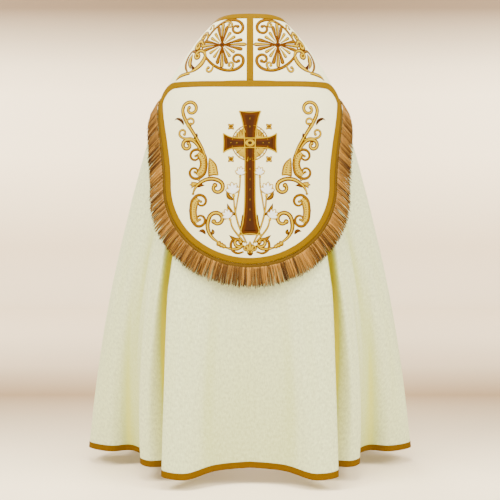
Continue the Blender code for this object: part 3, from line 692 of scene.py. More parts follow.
# ---------------------------------------------------------------- materials
class Surface:
    """A material under construction: a Principled shader and the nodes that feed it."""

    def __init__(self, name, roughness, sheen=0.0, specular=0.5):
        self.material = bpy.data.materials.new(name)
        self.material.use_nodes = True
        self.tree = self.material.node_tree
        self.shader = self.tree.nodes["Principled BSDF"]
        self.shader.inputs["Roughness"].default_value = roughness
        self.shader.inputs["Sheen Weight"].default_value = sheen
        self.shader.inputs["Sheen Roughness"].default_value = 0.5
        self.shader.inputs["Specular IOR Level"].default_value = specular

    def node(self, kind, inputs=(), **settings):
        made = self.tree.nodes.new(kind)
        for key, value in settings.items():
            setattr(made, key, value)
        for key, value in dict(inputs).items():
            if isinstance(value, bpy.types.NodeSocket):
                self.tree.links.new(value, made.inputs[key])
            else:
                made.inputs[key].default_value = value
        return made

    def math(self, operation, *values):
        return self.node("ShaderNodeMath", enumerate(values), operation=operation).outputs[0]

    def value(self, name):
        return self.node("ShaderNodeAttribute", attribute_name=name).outputs["Fac"]

    def uv(self):
        return self.node("ShaderNodeTexCoord").outputs["UV"]

    def noise(self, place, size, detail=2.0, stretch=(1, 1, 1)):
        """Noise whose spots are about size metres across."""
        mapped = self.node("ShaderNodeMapping", {"Vector": place, "Scale": stretch})
        made = self.node(
            "ShaderNodeTexNoise",
            {"Vector": mapped.outputs[0], "Scale": 1 / size, "Detail": detail},
        )
        return made.outputs["Fac"]

    def wave(self, run, pitch):
        """0 to 1 and back once every pitch of run."""
        sine = self.math("SINE", self.math("MULTIPLY", run, 2 * math.pi / pitch))
        return self.math("MULTIPLY_ADD", sine, 0.5, 0.5)

    def ramp(self, value, *stops):
        made = self.node("ShaderNodeValToRGB", {"Fac": value})
        elements = made.color_ramp.elements
        while len(elements) < len(stops):
            elements.new(0.5)
        for element, (place, colour) in zip(elements, stops):
            element.position = place
            element.color = (*colour, 1.0)
        return made.outputs["Color"]

    def blend(self, share, a, b):
        made = self.node("ShaderNodeMix", data_type="RGBA")
        for key, value in ((0, share), (6, a), (7, b)):
            if isinstance(value, bpy.types.NodeSocket):
                self.tree.links.new(value, made.inputs[key])
            else:
                made.inputs[key].default_value = (*value, 1.0) if key else value
        return made.outputs[2]

    def colour(self, socket):
        self.tree.links.new(socket, self.shader.inputs["Base Color"])

    def roughness(self, socket):
        self.tree.links.new(socket, self.shader.inputs["Roughness"])

    def bump(self, height, distance, strength=1.0):
        made = self.node(
            "ShaderNodeBump", {"Height": height, "Distance": distance, "Strength": strength}
        )
        self.tree.links.new(made.outputs[0], self.shader.inputs["Normal"])


WARP_PITCH = 0.0011
WEFT_PITCH = 0.0013
FIGURE_SIZE = 0.010
STREAK_SIZE = 0.003


def woven_cloth(name, colour, weave_and_fold_shade, recess_shade_colour, grain, roughness, sheen):
    """Figured cloth: a fine weave, a tone-on-tone figure, and painted shade in the folds."""
    made = Surface(name, roughness, sheen)
    place = made.uv()
    split = made.node("ShaderNodeSeparateXYZ", {"Vector": place}).outputs
    warp, weft = made.wave(split[0], WARP_PITCH), made.wave(split[1], WEFT_PITCH)
    weave = made.math("MULTIPLY", warp, weft)
    figure = made.noise(place, FIGURE_SIZE, 3.0)
    streak = made.noise(place, STREAK_SIZE, stretch=(1.0, 0.25, 1.0))
    mottle = made.math("MULTIPLY_ADD", streak, 0.5, made.math("MULTIPLY", figure, 0.5))
    darker = tuple(c * (1 - grain) for c in colour)
    lighter = tuple(min(c * (1 + grain), 1.0) for c in colour)
    body = made.ramp(mottle, (0.35, darker), (0.50, colour), (0.65, lighter))
    # The threads of the weave lean towards the first shade colour, which also serves as the painted
    # fold shade.
    threads = made.blend(made.math("MULTIPLY", weave, 0.10), body, weave_and_fold_shade)
    # Painted shade: the 'fold' attribute blends the cloth towards the fold shade colour, and its
    # highest values towards the deeper painted shade of the recess beside the back panel.
    fold = made.value("fold")
    tinted = made.blend(fold, threads, weave_and_fold_shade)
    deepest = made.math("MAXIMUM", made.math("MULTIPLY_ADD", fold, 2.5, -1.5), 0.0)
    deepest = made.math("SMOOTH_MIN", deepest, 1.0, 0.1)
    made.colour(made.blend(deepest, tinted, recess_shade_colour))
    made.roughness(made.math("MULTIPLY_ADD", figure, -0.16, roughness + 0.08))
    made.bump(made.math("MULTIPLY_ADD", streak, 0.6, weave), 0.00035, 0.6)
    return made.material


def gold_braid(name, colour, shade, pitch):
    """Flat braid woven in chevrons, with a bright metal thread."""
    made = Surface(name, 0.5, specular=0.01)
    along, across = made.value("along"), made.math("ABSOLUTE", made.value("across"))
    slant = made.math("MULTIPLY_ADD", across, pitch * 1.6, along)
    chevron = made.wave(slant, pitch)
    ribs = made.wave(across, 0.2)
    weave = made.math("MULTIPLY_ADD", ribs, 0.35, made.math("MULTIPLY", chevron, 0.65))
    deep = tuple(c * 0.45 for c in shade)
    body = made.ramp(weave, (0.0, deep), (0.40, shade), (0.75, colour))
    made.colour(body)
    made.roughness(made.math("MULTIPLY_ADD", weave, -0.2, 0.55))
    made.bump(weave, 0.0005, 0.7)
    return made.material


STITCH_PITCH = 0.0011
DOT_PITCH = 0.0075
# colour of the painted highlight along the ridge of gold strokes
RIDGE_PAINTED_HIGHLIGHT = (0.80, 0.56, 0.0)
DOT_COLOUR = (0.17, 0.07, 0.0)
EDGE_SHADE = (0.08, 0.02, 0.0)
THREAD_SHADE = (0.10, 0.04, 0.0)
TONE_REACH = 0.08  # how near a tone has to be to count as gold or as pale gold


def silk_thread(name, tones):
    """Satin stitch: fine threads laid across each stroke, in the stroke's own tone, with a
    painted highlight along the ridge of gold strokes. Pale fields are dotted."""
    made = Surface(name, 0.45, specular=0.03)
    along, across, tone = made.value("along"), made.value("across"), made.value("tone")
    threads = made.wave(made.math("MULTIPLY_ADD", across, 0.0006, along), STITCH_PITCH)
    body = made.ramp(tone, *tones)
    edge = made.math("POWER", made.math("ABSOLUTE", across), 4.0)
    ridge = made.math("SUBTRACT", 1.0, made.math("MULTIPLY", across, across))
    golden = made.math("COMPARE", tone, GOLD, TONE_REACH)
    # Painted highlight: gold strokes are lightened along their ridge.
    shine = made.math("MULTIPLY", made.math("POWER", ridge, 2.0), golden)
    shine = made.math("MULTIPLY", shine, 0.45)
    lit = made.blend(shine, body, RIDGE_PAINTED_HIGHLIGHT)
    rows = made.wave(made.math("MULTIPLY", across, 0.008), DOT_PITCH)
    dots = made.math("MULTIPLY", made.wave(along, DOT_PITCH), rows)
    pale = made.math("COMPARE", tone, PALE, TONE_REACH)
    dotted = made.math("MULTIPLY", made.math("GREATER_THAN", dots, 0.5), pale)
    spotted = made.blend(made.math("MULTIPLY", dotted, 0.9), lit, DOT_COLOUR)
    shaded = made.blend(made.math("MULTIPLY", edge, 0.6), spotted, EDGE_SHADE)
    made.colour(made.blend(made.math("MULTIPLY", threads, 0.22), shaded, THREAD_SHADE))
    made.bump(threads, 0.0003, 0.9)
    return made.material


TWIST_PITCH = 0.0035


def bullion(name, colour, shade):
    """Cord of twisted thread: stripes wind round each strand."""
    made = Surface(name, 0.45, specular=0.05)
    along, around = made.value("along"), made.value("across")
    wind = made.wave(made.math("MULTIPLY_ADD", around, TWIST_PITCH, along), TWIST_PITCH)
    tone = made.math("MULTIPLY_ADD", wind, 0.40, made.math("MULTIPLY", made.value("tone"), 0.70))
    tone = made.math("MULTIPLY_ADD", along, -2.4, tone)
    deep = tuple(c * 0.35 for c in shade)
    bright = tuple(min(c * 1.5, 1.0) for c in colour)
    made.colour(made.ramp(tone, (0.05, deep), (0.35, shade), (0.7, colour), (0.95, bright)))
    made.bump(wind, 0.0006, 0.9)
    return made.material


def studio_paint(name, settings):
    """Smooth paper: a pale floor with a darker band of painted shade across it behind the cope,
    and a pale wall above it with painted shade darkening near the bend and towards the top."""
    made = Surface(name, 0.8, specular=0.1)
    place = made.node("ShaderNodeTexCoord").outputs["Object"]
    split = made.node("ShaderNodeSeparateXYZ", {"Vector": place}).outputs
    pale, line, top = tuple(settings.pale), tuple(settings.line), tuple(settings.top)
    back = made.math("DIVIDE", made.math("ADD", split[1], settings.wall), settings.wall + 1.0)
    # Painted shade on the floor, darkest in a band behind the cope.
    floor = made.ramp(
        back, (0.0, mixed(line, pale, 0.62)), (0.25, mixed(line, pale, 0.50)),
        (0.46, mixed(line, pale, 0.30)), (0.61, line), (0.69, mixed(line, pale, 0.28)),
        (0.79, mixed(line, pale, 0.70)), (0.88, pale),
    )
    high = made.math("DIVIDE", made.math("ADD", split[2], -settings.floor_drop), 2.6)
    # Painted shade on the wall: darker near the bend and towards the top.
    wall = made.ramp(
        high, (0.0, mixed(line, pale, 0.56)), (0.19, mixed(line, pale, 0.62)), (0.47, pale),
        (0.66, pale), (0.745, mixed(top, pale, 0.8)), (0.835, mixed(top, pale, 0.38)), (0.93, top),
    )
    upright = made.math("GREATER_THAN", high, 0.002)
    made.colour(made.blend(upright, floor, wall))
    return made.material


def mixed(a, b, share):
    return tuple(mix(x, y, share) for x, y in zip(a, b))


# ---------------------------------------------------------------- the pieces
def fold_depth(points, reach):
    """How deep each point of a folded sheet lies in a hollow, within reach metres."""
    depths = np.zeros(points.shape[:2])
    normals = Chart(np.arange(points.shape[1]), np.arange(points.shape[0]), points).normals
    runs = lengths_along(points, 1)
    for depth, row, normal, run in zip(depths, points, normals, runs):
        sides = [
            np.stack([np.interp(run + shift, run, row[:, k]) for k in range(3)], -1)
            for shift in (-reach, reach)
        ]
        depth[:] = (((sides[0] + sides[1]) / 2 - row) * normal).sum(-1)
    return depths


# Small creases: place across the mantle at its top and at the hem, the shares of the drop
# where it starts, is deepest and ends, its half width in places and its depth in millimetres.
Crease = namedtuple("Crease", "top hem start deepest end half_width depth")
CREASES = (
    (0.36, 0.42, 0.42, 0.80, 1.10, 0.10, 2.2),
    (0.58, 0.70, 0.40, 0.66, 1.00, 0.09, 2.4),
    (0.12, 0.10, 0.55, 0.85, 1.10, 0.11, 1.8),
    (0.80, 0.83, 0.48, 0.70, 0.98, 0.06, 2.0),
    (1.34, 1.30, 0.34, 0.50, 1.10, 0.09, 6.0),
    (1.45, 1.47, 0.40, 0.72, 1.02, 0.09, 2.6),
    (1.62, 1.64, 0.30, 0.54, 0.90, 0.12, 4.0),
    (1.88, 1.92, 0.36, 0.62, 1.04, 0.09, 4.5),
    (2.14, 2.20, 0.30, 0.52, 0.86, 0.08, 4.5),
    (2.36, 2.33, 0.38, 0.72, 1.08, 0.09, 4.5),
    (2.52, 2.62, 0.30, 0.48, 0.80, 0.07, 3.0),
    (2.66, 2.72, 0.46, 0.80, 1.05, 0.09, 3.5),
    (2.92, 2.86, 0.40, 0.70, 1.00, 0.08, 3.0),
    (3.20, 3.24, 0.42, 0.78, 1.05, 0.10, 3.2),
    (3.62, 3.60, 0.40, 0.72, 1.00, 0.08, 2.6),
    (4.02, 4.06, 0.42, 0.76, 1.02, 0.08, 2.6),
    (4.36, 4.34, 0.44, 0.74, 1.00, 0.07, 2.2),
)


def creased(chart, settings):
    """The mantle with its small creases pressed in, a little unlike on the two sides."""
    places, shares = np.meshgrid(chart.us, chart.vs)
    depth = np.zeros(places.shape)
    rng = np.random.default_rng(settings.crease_seed)
    for crease in (Crease(*row) for row in CREASES):
        deepens = (shares - crease.start) / (crease.deepest - crease.start)
        fades = (crease.end - shares) / (crease.end - crease.deepest)
        for side in (-1, 1):
            shift, gain = rng.uniform(-0.02, 0.02), rng.uniform(0.75, 1.25)
            line = side * mix(crease.top, crease.hem, shares) + side * shift
            across = (places - line) / crease.half_width
            shape = np.exp(-(across**2)) - 0.35 * np.exp(-((np.abs(across) - 1.7) ** 2) / 0.5)
            depth += crease.depth * gain * ease(deepens) * ease(fades) * shape * MM
    return Chart(chart.us, chart.vs, chart.points - depth[..., None] * chart.normals), depth


def within(share, start, end):
    """0 up to the start, 1 from the end on, with a smooth way between them."""
    return ease((share - start) / (end - start))


def fold_shade(points, depth, tint):
    """How much painted shade each point of the mantle takes: in hollows and creases, where the
    cloth turns sideways, in the recess beside the back panel and a little at the hem."""
    hollow = np.maximum(*(fold_depth(points, reach) / full for reach, full in HOLLOWS))
    turned = 1 - np.abs(MANTLE.normals[..., 1])
    creases = CREASE_PAINTED_SHADE * np.maximum(depth, 0)
    # Painted shade in hollows and creases and where the cloth turns sideways.
    fold = np.clip(hollow, 0, 1) ** 0.8 + SIDEWAYS_PAINTED_SHADE * turned**2 + creases
    places, shares = np.meshgrid(np.abs(MANTLE.us), MANTLE.vs)
    # Painted shade in the recess beside the back panel, narrowing towards the hem.
    reach = mix(RECESS_TOP, RECESS_HEM, within(shares, 0.5, 1.0))
    recess = np.where(places > 1.0, ease(1.4 - 1.4 * (places - PANEL_PLACE) / reach), 0.0)
    recess = recess ** mix(1.0, RECESS_NARROWING, within(shares, 0.55, 0.85))
    recess = recess * within(shares, 0.36, 0.46)
    recess = recess * mix(1.0, RECESS_HEM_PAINTED_SHADE, within(shares, 0.6, 1.0))
    # Added to it, a little painted shade towards the hem.
    return np.clip(fold * tint + recess + HEM_PAINTED_SHADE * within(shares, 0.55, 1.0), 0, 1)


def make_mantle(settings):
    tones = (settings.mantle_colour, settings.weave_and_fold_shade, settings.recess_shade_colour)
    material = woven_cloth("ivory_damask", *map(tuple, tones), 0.2, 0.62, 0.12)
    chart, depth = creased(MANTLE, settings)
    points = chart.points
    # Painted shade: how far each point leans towards the fold shade colours, kept as the 'fold'
    # attribute.
    shade = {"fold": fold_shade(points, depth, settings.fold_shade_strength)}
    made = grid_object("mantle_cloth", points, cloth_uvs(points), material, CLOTH, shade)
    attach(made, "root")
    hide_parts("mantle_back", "mantle_left", "mantle_right")


def make_orphreys(settings):
    tones = (settings.silk_colour, settings.silk_shade, settings.silk_shade)
    material = woven_cloth("white_brocade", *map(tuple, tones), 0.02, 0.55, 0.3)
    stations = np.concatenate([np.linspace(0, 1, 97), np.linspace(1, 2, 97)[1:]])
    shares = np.linspace(0, 1, 25)
    for side, columns in (("right", -stations[::-1]), ("left", stations)):
        points = BAND.at(columns[None, :], shares[:, None])
        piece = grid_object(f"orphrey_cloth_{side}", points, cloth_uvs(points), material, ORPHREY)
        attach(piece, "root")
        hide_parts(f"orphrey_{side}")


def make_hood():
    material = bpy.data.materials["white_brocade"]
    turn = np.linspace(0, np.pi / 2, 13)
    corner = HOOD_TOP + HOOD_CORNER * (1 - np.cos(turn))
    side = np.linspace(HOOD_TOP + HOOD_CORNER, HOOD_WAIST_DROP, 29)[1:]
    round_turn = np.sin(np.linspace(0, 1, 33)[1:] * np.pi / 2)
    low = HOOD_WAIST_DROP + (HOOD_BOTTOM - HOOD_WAIST_DROP) * round_turn
    drops = np.concatenate([corner, side, low])[:, None]
    arcs = np.maximum(hood_half_width(drops), MM) * np.linspace(-1, 1, 73)[None, :]
    points = HOOD_FACE.at(arcs, np.broadcast_to(drops, arcs.shape))
    made = grid_object("hood_cloth", points, cloth_uvs(points), material, HOOD)
    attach(made, "root")
    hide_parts("hood")


def braid_heights(profile, settings):
    """Heights of a braid's section above the cloth that it is sewn on."""
    return SEAM_GAP + settings.thickness * profile[:, 1]


def outline_loop(out, first=0.0, count=260, fuller=0.0):
    """Places all along the hood's outline, both sides, out metres outside it; fuller at the
    top corners by that share."""
    lengths = np.linspace(first, OUTLINE_END, count)
    width = 1 + fuller * np.exp(-(((lengths - CORNER_MIDDLE) / CORNER_REACH) ** 2))
    left = on_outline(lengths[:, None], np.asarray(out)[None, :] * width[:, None])[0]
    right = left[-2:0:-1] if first == 0.0 else left[-2::-1]
    return np.concatenate([left, right * np.array([-1, 1])])


def make_braids(settings):
    gold = gold_braid("gold_braid", tuple(settings.colour), tuple(settings.shade), settings.chevron)
    hem_gold = gold_braid(
        "hem_gold_braid", tuple(settings.hem_colour), tuple(settings.hem_shade), settings.chevron
    )
    profile = woven_profile(settings.ribs)
    heights = braid_heights(profile, settings)
    across = (profile[:, 0] + 1) / 2

    def along_band(shares_of):
        stations = np.linspace(-1 - HEM_SHARE, 1 + HEM_SHARE, BRAID_STATIONS)[:, None]
        shares = shares_of(BRAID_WIDTH / band_width(np.abs(stations)))
        return BAND.at(np.broadcast_to(stations, shares.shape), shares, heights)

    def down_centre():
        drops = np.linspace(CENTRE_TOP, CENTRE_FOOT, 90)[:, None]
        arcs = CENTRE_BRAID / 2 * profile[:, 0]
        return BACK.at(*np.broadcast_arrays(arcs[None, :], drops), heights)

    def round_hem():
        down = mix(HEM_SHARE, 1.0, across)[None, :]
        along, shares = np.broadcast_arrays(1 + down, np.linspace(0, 1, 33)[:, None])
        right, left = (BAND.at(side * along, shares, heights) for side in (-1, 1))
        middle = MANTLE.at(*np.broadcast_arrays(MANTLE.us[1:-1, None], down), heights)
        return np.concatenate([right, middle, left[::-1]])

    def round_hood():
        spots = outline_loop(-BRAID_WIDTH * (1 - profile[:, 0]) / 2, fuller=CORNER_FULLNESS)
        return HOOD_FACE.at(spots[..., 0], spots[..., 1], heights)

    inner_edge = along_band(lambda width: width * across)
    outer_edge = along_band(lambda width: 1 - width * (1 - across))
    for name, node, rings, metal in (
        ("neck_edge_braid", "edge_braid", inner_edge, gold),
        ("mantle_seam_braid", "seam_braid", outer_edge, gold),
        ("centre_back_braid", "centre_braid", down_centre(), gold),
        ("hem_edge_braid", "hem_braid", round_hem(), hem_gold),
        ("hood_edge_braid", "hood_braid", round_hood(), gold),
    ):
        work = Needlework()
        work.braid(rings, profile, looped=node == "hood_braid")
        piece = work.finish(name, metal)
        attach(piece, "root")
        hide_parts(node)


def make_heading(settings):
    """The woven heading that the fringe hangs from, level with the hood's cloth."""
    colours = tuple(settings.heading), tuple(settings.shade)
    gold = gold_braid("fringe_heading", *colours, HEADING_CHEVRON)
    profile = woven_profile(3)
    spots = outline_loop(mix(SEAM_GAP, HEADING, (profile[:, 0] + 1) / 2), FRINGE_START, 150)
    heights = -HOOD / 2 + HEADING_HALF_THICKNESS * (2 * profile[:, 1] - 1)
    work = Needlework()
    work.braid(HOOD_FACE.at(spots[..., 0], spots[..., 1], heights), profile)
    return work.finish("fringe_heading", gold)


def strand(root, normal, slant, lift, settings, rng):
    """One strand, as rings of points and the length run at each: it hangs from its root at a
    slant that straightens towards the tip, and sinks back towards the mantle."""
    level = np.array([normal[1], -normal[0], 0.0])
    level /= np.linalg.norm(level)
    hanging = np.cross(normal, level)
    share = np.linspace(0, 1, settings.stations)
    slant = slant + rng.normal(0, SLANT_SPREAD)
    reach = settings.length * (1 + rng.normal(0, LENGTH_SPREAD))
    angles = slant * (1.06 - 0.22 * share**1.5)
    ways = level * np.sin(angles)[:, None] + hanging * np.cos(angles)[:, None]
    beside = np.cross(ways, normal)
    sway = rng.normal(0, SWAY_SPREAD) * np.sin(share * np.pi * rng.uniform(0.7, 1.6))
    line = root + np.cumsum(ways, axis=0) * reach / settings.stations
    lift = rng.normal(0, HEIGHT_SPREAD) + lift - FRINGE_SINK * share**0.7
    line = line + normal * lift[:, None]
    line = line + beside * sway[:, None]
    thick = settings.thickness / 2 * (1 - 0.25 * share**6) * rng.uniform(*THICKNESS_RANGE)
    rings = (
        line[:, None, :]
        + beside[:, None, :] * (np.cos(STRAND_TURN) * thick[:, None])[..., None]
        + normal * (np.sin(STRAND_TURN) * thick[:, None])[..., None]
    )
    return rings, share * reach


def make_fringe(settings):
    """Two layers of strands on each side. Neighbours hang in small bundles that share a
    swing, a height and a tone."""
    cord = bullion("bullion_cord", tuple(settings.colour), tuple(settings.shade))
    work = Needlework()
    rng = np.random.default_rng(settings.seed)
    count = settings.strands
    for layer in LAYERS:
        lengths = np.linspace(FRINGE_START, OUTLINE_END, count) + layer.shift
        spots, outwards = on_outline(lengths, np.full(count, layer.out))
        roots = HOOD_FACE.at(spots[:, 0], spots[:, 1], layer.lift)
        normals = HOOD_FACE.read(HOOD_FACE.normals, spots[:, 0], spots[:, 1])
        slants = math.radians(FRINGE_SLANT) * np.abs(outwards[:, 0])
        for side in (-1, 1):
            bundles = np.cumsum(rng.uniform(size=count) < NEW_BUNDLE)
            swings, lifts = rng.normal(0, BUNDLE_SPREADS, (count, 2)).T
            dark = rng.uniform(size=count) < DARK_BUNDLE
            tones = np.where(dark, DARK_TONE, rng.uniform(*LIGHT_TONES, count))
            for root, normal, slant, bundle in zip(roots, normals, slants, bundles):
                slant = slant + swings[bundle]
                rings, runs = strand(root, normal, slant, lifts[bundle], settings, rng)
                # The lower layer's strands are darkened by its brightness, as painted shade.
                tone = (tones[bundle] + rng.uniform(0.0, 0.2)) * layer.brightness
                rings = rings * np.array([side, 1, 1])
                work.tube(rings, runs, STRAND_TURN / (2 * np.pi), tone)
    heading = make_heading(settings)
    strands = work.finish("bullion_fringe", cord)
    for piece in (heading, strands):
        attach(piece, "root")
    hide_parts("hood_fringe")


def make_morse(settings):
    xs = np.linspace(-MORSE_HALF_WIDTH, MORSE_HALF_WIDTH, 37)
    drops = np.linspace(MORSE_TOP, MORSE_BOTTOM, 17)
    points = FRONT.at(xs[None, :], drops[:, None], MORSE_LIFT + MORSE)
    brocade = bpy.data.materials["white_brocade"]
    cloth = grid_object("morse_cloth", points, cloth_uvs(points), brocade, MORSE, flip=True)
    profile = woven_profile(3)
    rim, inner = (
        rectangle_loop(MORSE_HALF_WIDTH, MORSE_TOP, MORSE_BOTTOM, inset)
        for inset in (0.0, settings.morse_width)
    )
    share = (profile[:, 0] + 1) / 2
    spots = mix(inner[:, None, :], rim[:, None, :], share[None, :, None])
    heights = MORSE_LIFT + MORSE + braid_heights(profile, settings)
    work = Needlework()
    work.braid(FRONT.at(spots[..., 0], spots[..., 1], heights), profile, looped=True)
    braid = work.finish("morse_edge_braid", bpy.data.materials["gold_braid"])
    for piece, slot, node in ((cloth, "silk", "morse"), (braid, "braid", "morse_braid")):
        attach(piece, "root")
        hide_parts(node)


def rectangle_loop(half_width, top, bottom, inset, steps=24):
    """Places round a rectangle, clockwise, drawn in by inset."""
    left, right = -half_width + inset, half_width - inset
    up, down = top + inset, bottom - inset
    corners = [(left, up), (right, up), (right, down), (left, down), (left, up)]
    sides = [np.linspace(a, b, steps + 1)[:-1] for a, b in zip(corners, corners[1:])]
    return np.concatenate(sides)


# ---------------------------------------------------------------- the stage
Lamp = namedtuple("Lamp", "name place aim size power colour")
STUDIO_LAMPS = (
    Lamp("key_light", (3.1, 2.1, 2.8), (0, 0.2, -0.3), 2.8, 170, (1.0, 0.95, 0.82)),
    Lamp("fill_light", (-3.2, 2.1, 1.9), (0, 0, -0.5), 2.8, 122, (1.0, 0.95, 0.82)),
    Lamp("front_light", (0.8, -3.4, 2.4), (0, 0, -0.7), 2.6, 70, (1.0, 0.95, 0.85)),
    Lamp("top_light", (0.0, 1.2, 2.6), (0, 0.1, -0.8), 1.6, 55, (1.0, 0.95, 0.85)),
    Lamp("hollow_light", (0.0, 0.0, -1.1), (0, 0.01, -1.5), 0.36, 0.38, (1.0, 0.82, 0.90)),
    Lamp("wall_light_left", (3.2, -2.4, 0.8), (1.0, -5.0, -0.4), 1.6, 75, (1.0, 0.95, 0.88)),
    Lamp("wall_light_right", (-3.2, -2.4, 0.8), (-1.0, -5.0, -0.4), 1.6, 75, (1.0, 0.95, 0.88)),
)
BACKDROP_BEND = 0.45
BACKDROP_HALF_WIDTH = 16.0
BACKDROP_NEAR = 14.0
BACKDROP_HEIGHT = 4.0
CAMERA_PLACE = (0.0, 3.6, -0.58)
CAMERA_FALL = 3.12  # degrees below level
CAMERA_LENS = 76.0  # millimetres, as the sensor's width is
CAMERA_SENSOR = 36.0
AIR_COLOUR = (1.0, 0.97, 0.86, 1.0)


def make_backdrop(settings):
    """A floor that turns up into a wall, swept from one line."""
    floor, back = settings.floor_drop, -settings.wall
    turn = np.linspace(0, np.pi / 2, 13)
    across = back - BACKDROP_BEND * np.sin(turn)
    up = floor + BACKDROP_BEND * (1 - np.cos(turn))
    profile = [(BACKDROP_NEAR, floor), (1.0, floor), *zip(across, up)]
    profile.append((back - BACKDROP_BEND, floor + BACKDROP_HEIGHT))
    mesh = bmesh.new()
    ends = [mesh.verts.new((-BACKDROP_HALF_WIDTH, y, z)) for y, z in profile]
    edges = [mesh.edges.new(pair) for pair in zip(ends, ends[1:])]
    swept = bmesh.ops.extrude_edge_only(mesh, edges=edges)["geom"]
    moved = [part for part in swept if isinstance(part, bmesh.types.BMVert)]
    bmesh.ops.translate(mesh, verts=moved, vec=(2 * BACKDROP_HALF_WIDTH, 0, 0))
    bmesh.ops.recalc_face_normals(mesh, faces=mesh.faces)
    new_object("studio_floor", mesh, studio_paint("studio_paint", settings))


def make_stage(settings):
    make_backdrop(settings)
    for lamp in STUDIO_LAMPS:
        light = bpy.data.lights.new(lamp.name, "AREA")
        light.shape = "DISK"
        light.size = lamp.size
        light.energy = lamp.power * settings.light
        light.color = lamp.colour
        made = bpy.data.objects.new(lamp.name, light)
        made.location = lamp.place
        aimed = Vector(lamp.aim) - Vector(lamp.place)
        made.rotation_euler = aimed.to_track_quat("-Z", "Y").to_euler()
        bpy.context.scene.collection.objects.link(made)

    world = bpy.data.worlds.new("studio_air")
    world.use_nodes = True
    air = world.node_tree.nodes["Background"].inputs
    air["Color"].default_value = AIR_COLOUR
    air["Strength"].default_value = settings.air
    bpy.context.scene.world = world

    lens = bpy.data.cameras.new("camera")
    lens.sensor_width = CAMERA_SENSOR
    lens.lens = CAMERA_LENS
    camera = bpy.data.objects.new("camera", lens)
    camera.location = CAMERA_PLACE
    camera.rotation_euler = (math.radians(90 - CAMERA_FALL), 0.0, math.radians(180))
    bpy.context.scene.collection.objects.link(camera)
    bpy.context.scene.camera = camera


# ---------------------------------------------------------------- ornament
# Ornament is drawn on the left half: x runs outwards from the centre back and y down, in
# millimetres. The other half is the same ornament turned over.
FULLNESS = 1.5  # how much wider stems and leaves are laid than they are drawn
RIM_HEIGHT = 0.7
FILL_HEIGHT = 1.2
CROSS_HEIGHT = 424
CROSS_MIDDLE = (0, CROSS_HEIGHT)
UNIT_MIDDLE = 0.098  # metres down to the middle line of an orphrey unit
UNIT_LENGTH = 0.27
UNIT_MARGIN = 0.03  # metres kept free between the last unit and the hem
MORSE_SCALE = 0.3  # the morse has a rosette like the orphreys', this much smaller
MORSE_WIDTH_SCALE = 0.34
MORSE_HEIGHT_SCALE = 0.8


def smooth(*points, step=3.0):
    """A flowing line through places in millimetres."""
    points = np.array(points, float)
    knots = running_length(points)
    samples = np.linspace(0, knots[-1], max(int(knots[-1] / step), 6) + 1)
    return flowing(knots, points)(samples) * MM


def curl(points, centre, turn, tight=0.3, step=3.0):
    """A line through points that then winds round a centre, turn degrees, ever tighter."""
    reach = np.subtract(points[-1], centre)
    radius, start = np.hypot(*reach), math.atan2(reach[1], reach[0])
    share = np.linspace(0, 1, max(int(abs(turn) / 24), 4) + 1)[1:]
    radii = radius * mix(1.0, tight, share**0.85)
    angles = start + math.radians(turn) * share
    coil = np.stack([centre[0] + radii * np.cos(angles), centre[1] + radii * np.sin(angles)], -1)
    return smooth(*points, *coil.tolist(), step=step)


def corded(line, width, tone, start=0.5, end=0.6, ball=0.0, rim=COPPER):
    """A satin stem over a darker one that shows as its outline, with a ball at its end."""
    strokes = [
        stem(line, width * FULLNESS, rim, start, end, RIM_HEIGHT),
        stem(line, width * FULLNESS * 0.62, tone, start, end, FILL_HEIGHT),
    ]
    if ball:
        x, y = line[-1] / MM
        ball *= mix(1, FULLNESS, 0.5)
        strokes += [disc(x, y, ball, rim, 1.1), disc(x, y, ball * 0.6, tone, 1.6)]
    return strokes


def leafed(line, width, tone, rim=COPPER, fullest=0.45):
    """A leaf over a darker one that shows as its outline."""
    width *= FULLNESS
    return [
        leaf(line, width, rim, fullest, RIM_HEIGHT),
        leaf(line[1:-1], width * 0.6, tone, fullest, FILL_HEIGHT),
    ]


def volute(points, centre, turn, tight, width, tone, start, end, ball=0.0):
    """A corded stem through points that winds up round a centre."""
    return corded(curl(points, centre, turn, tight), width, tone, start, end, ball)


def stud(x, y, wide, narrow, height=1.4):
    """A copper spot with a smaller gold one on it."""
    return [disc(x, y, wide, COPPER, height), disc(x, y, narrow, GOLD, 1.8)]


def between(one, other, tone, height=0.6, columns=9, count=28):
    """A patch filling the space between two lines."""
    share = np.linspace(0, 1, count)
    sides = [
        np.stack([np.interp(share, np.linspace(0, 1, len(line)), line[:, k]) for k in (0, 1)], -1)
        for line in (one, other)
    ]
    half = np.maximum(np.linalg.norm(sides[0] - sides[1], axis=1) / 2, 0.0004)
    return Stroke((sides[0] + sides[1]) / 2, half, height * MM, tone, columns)


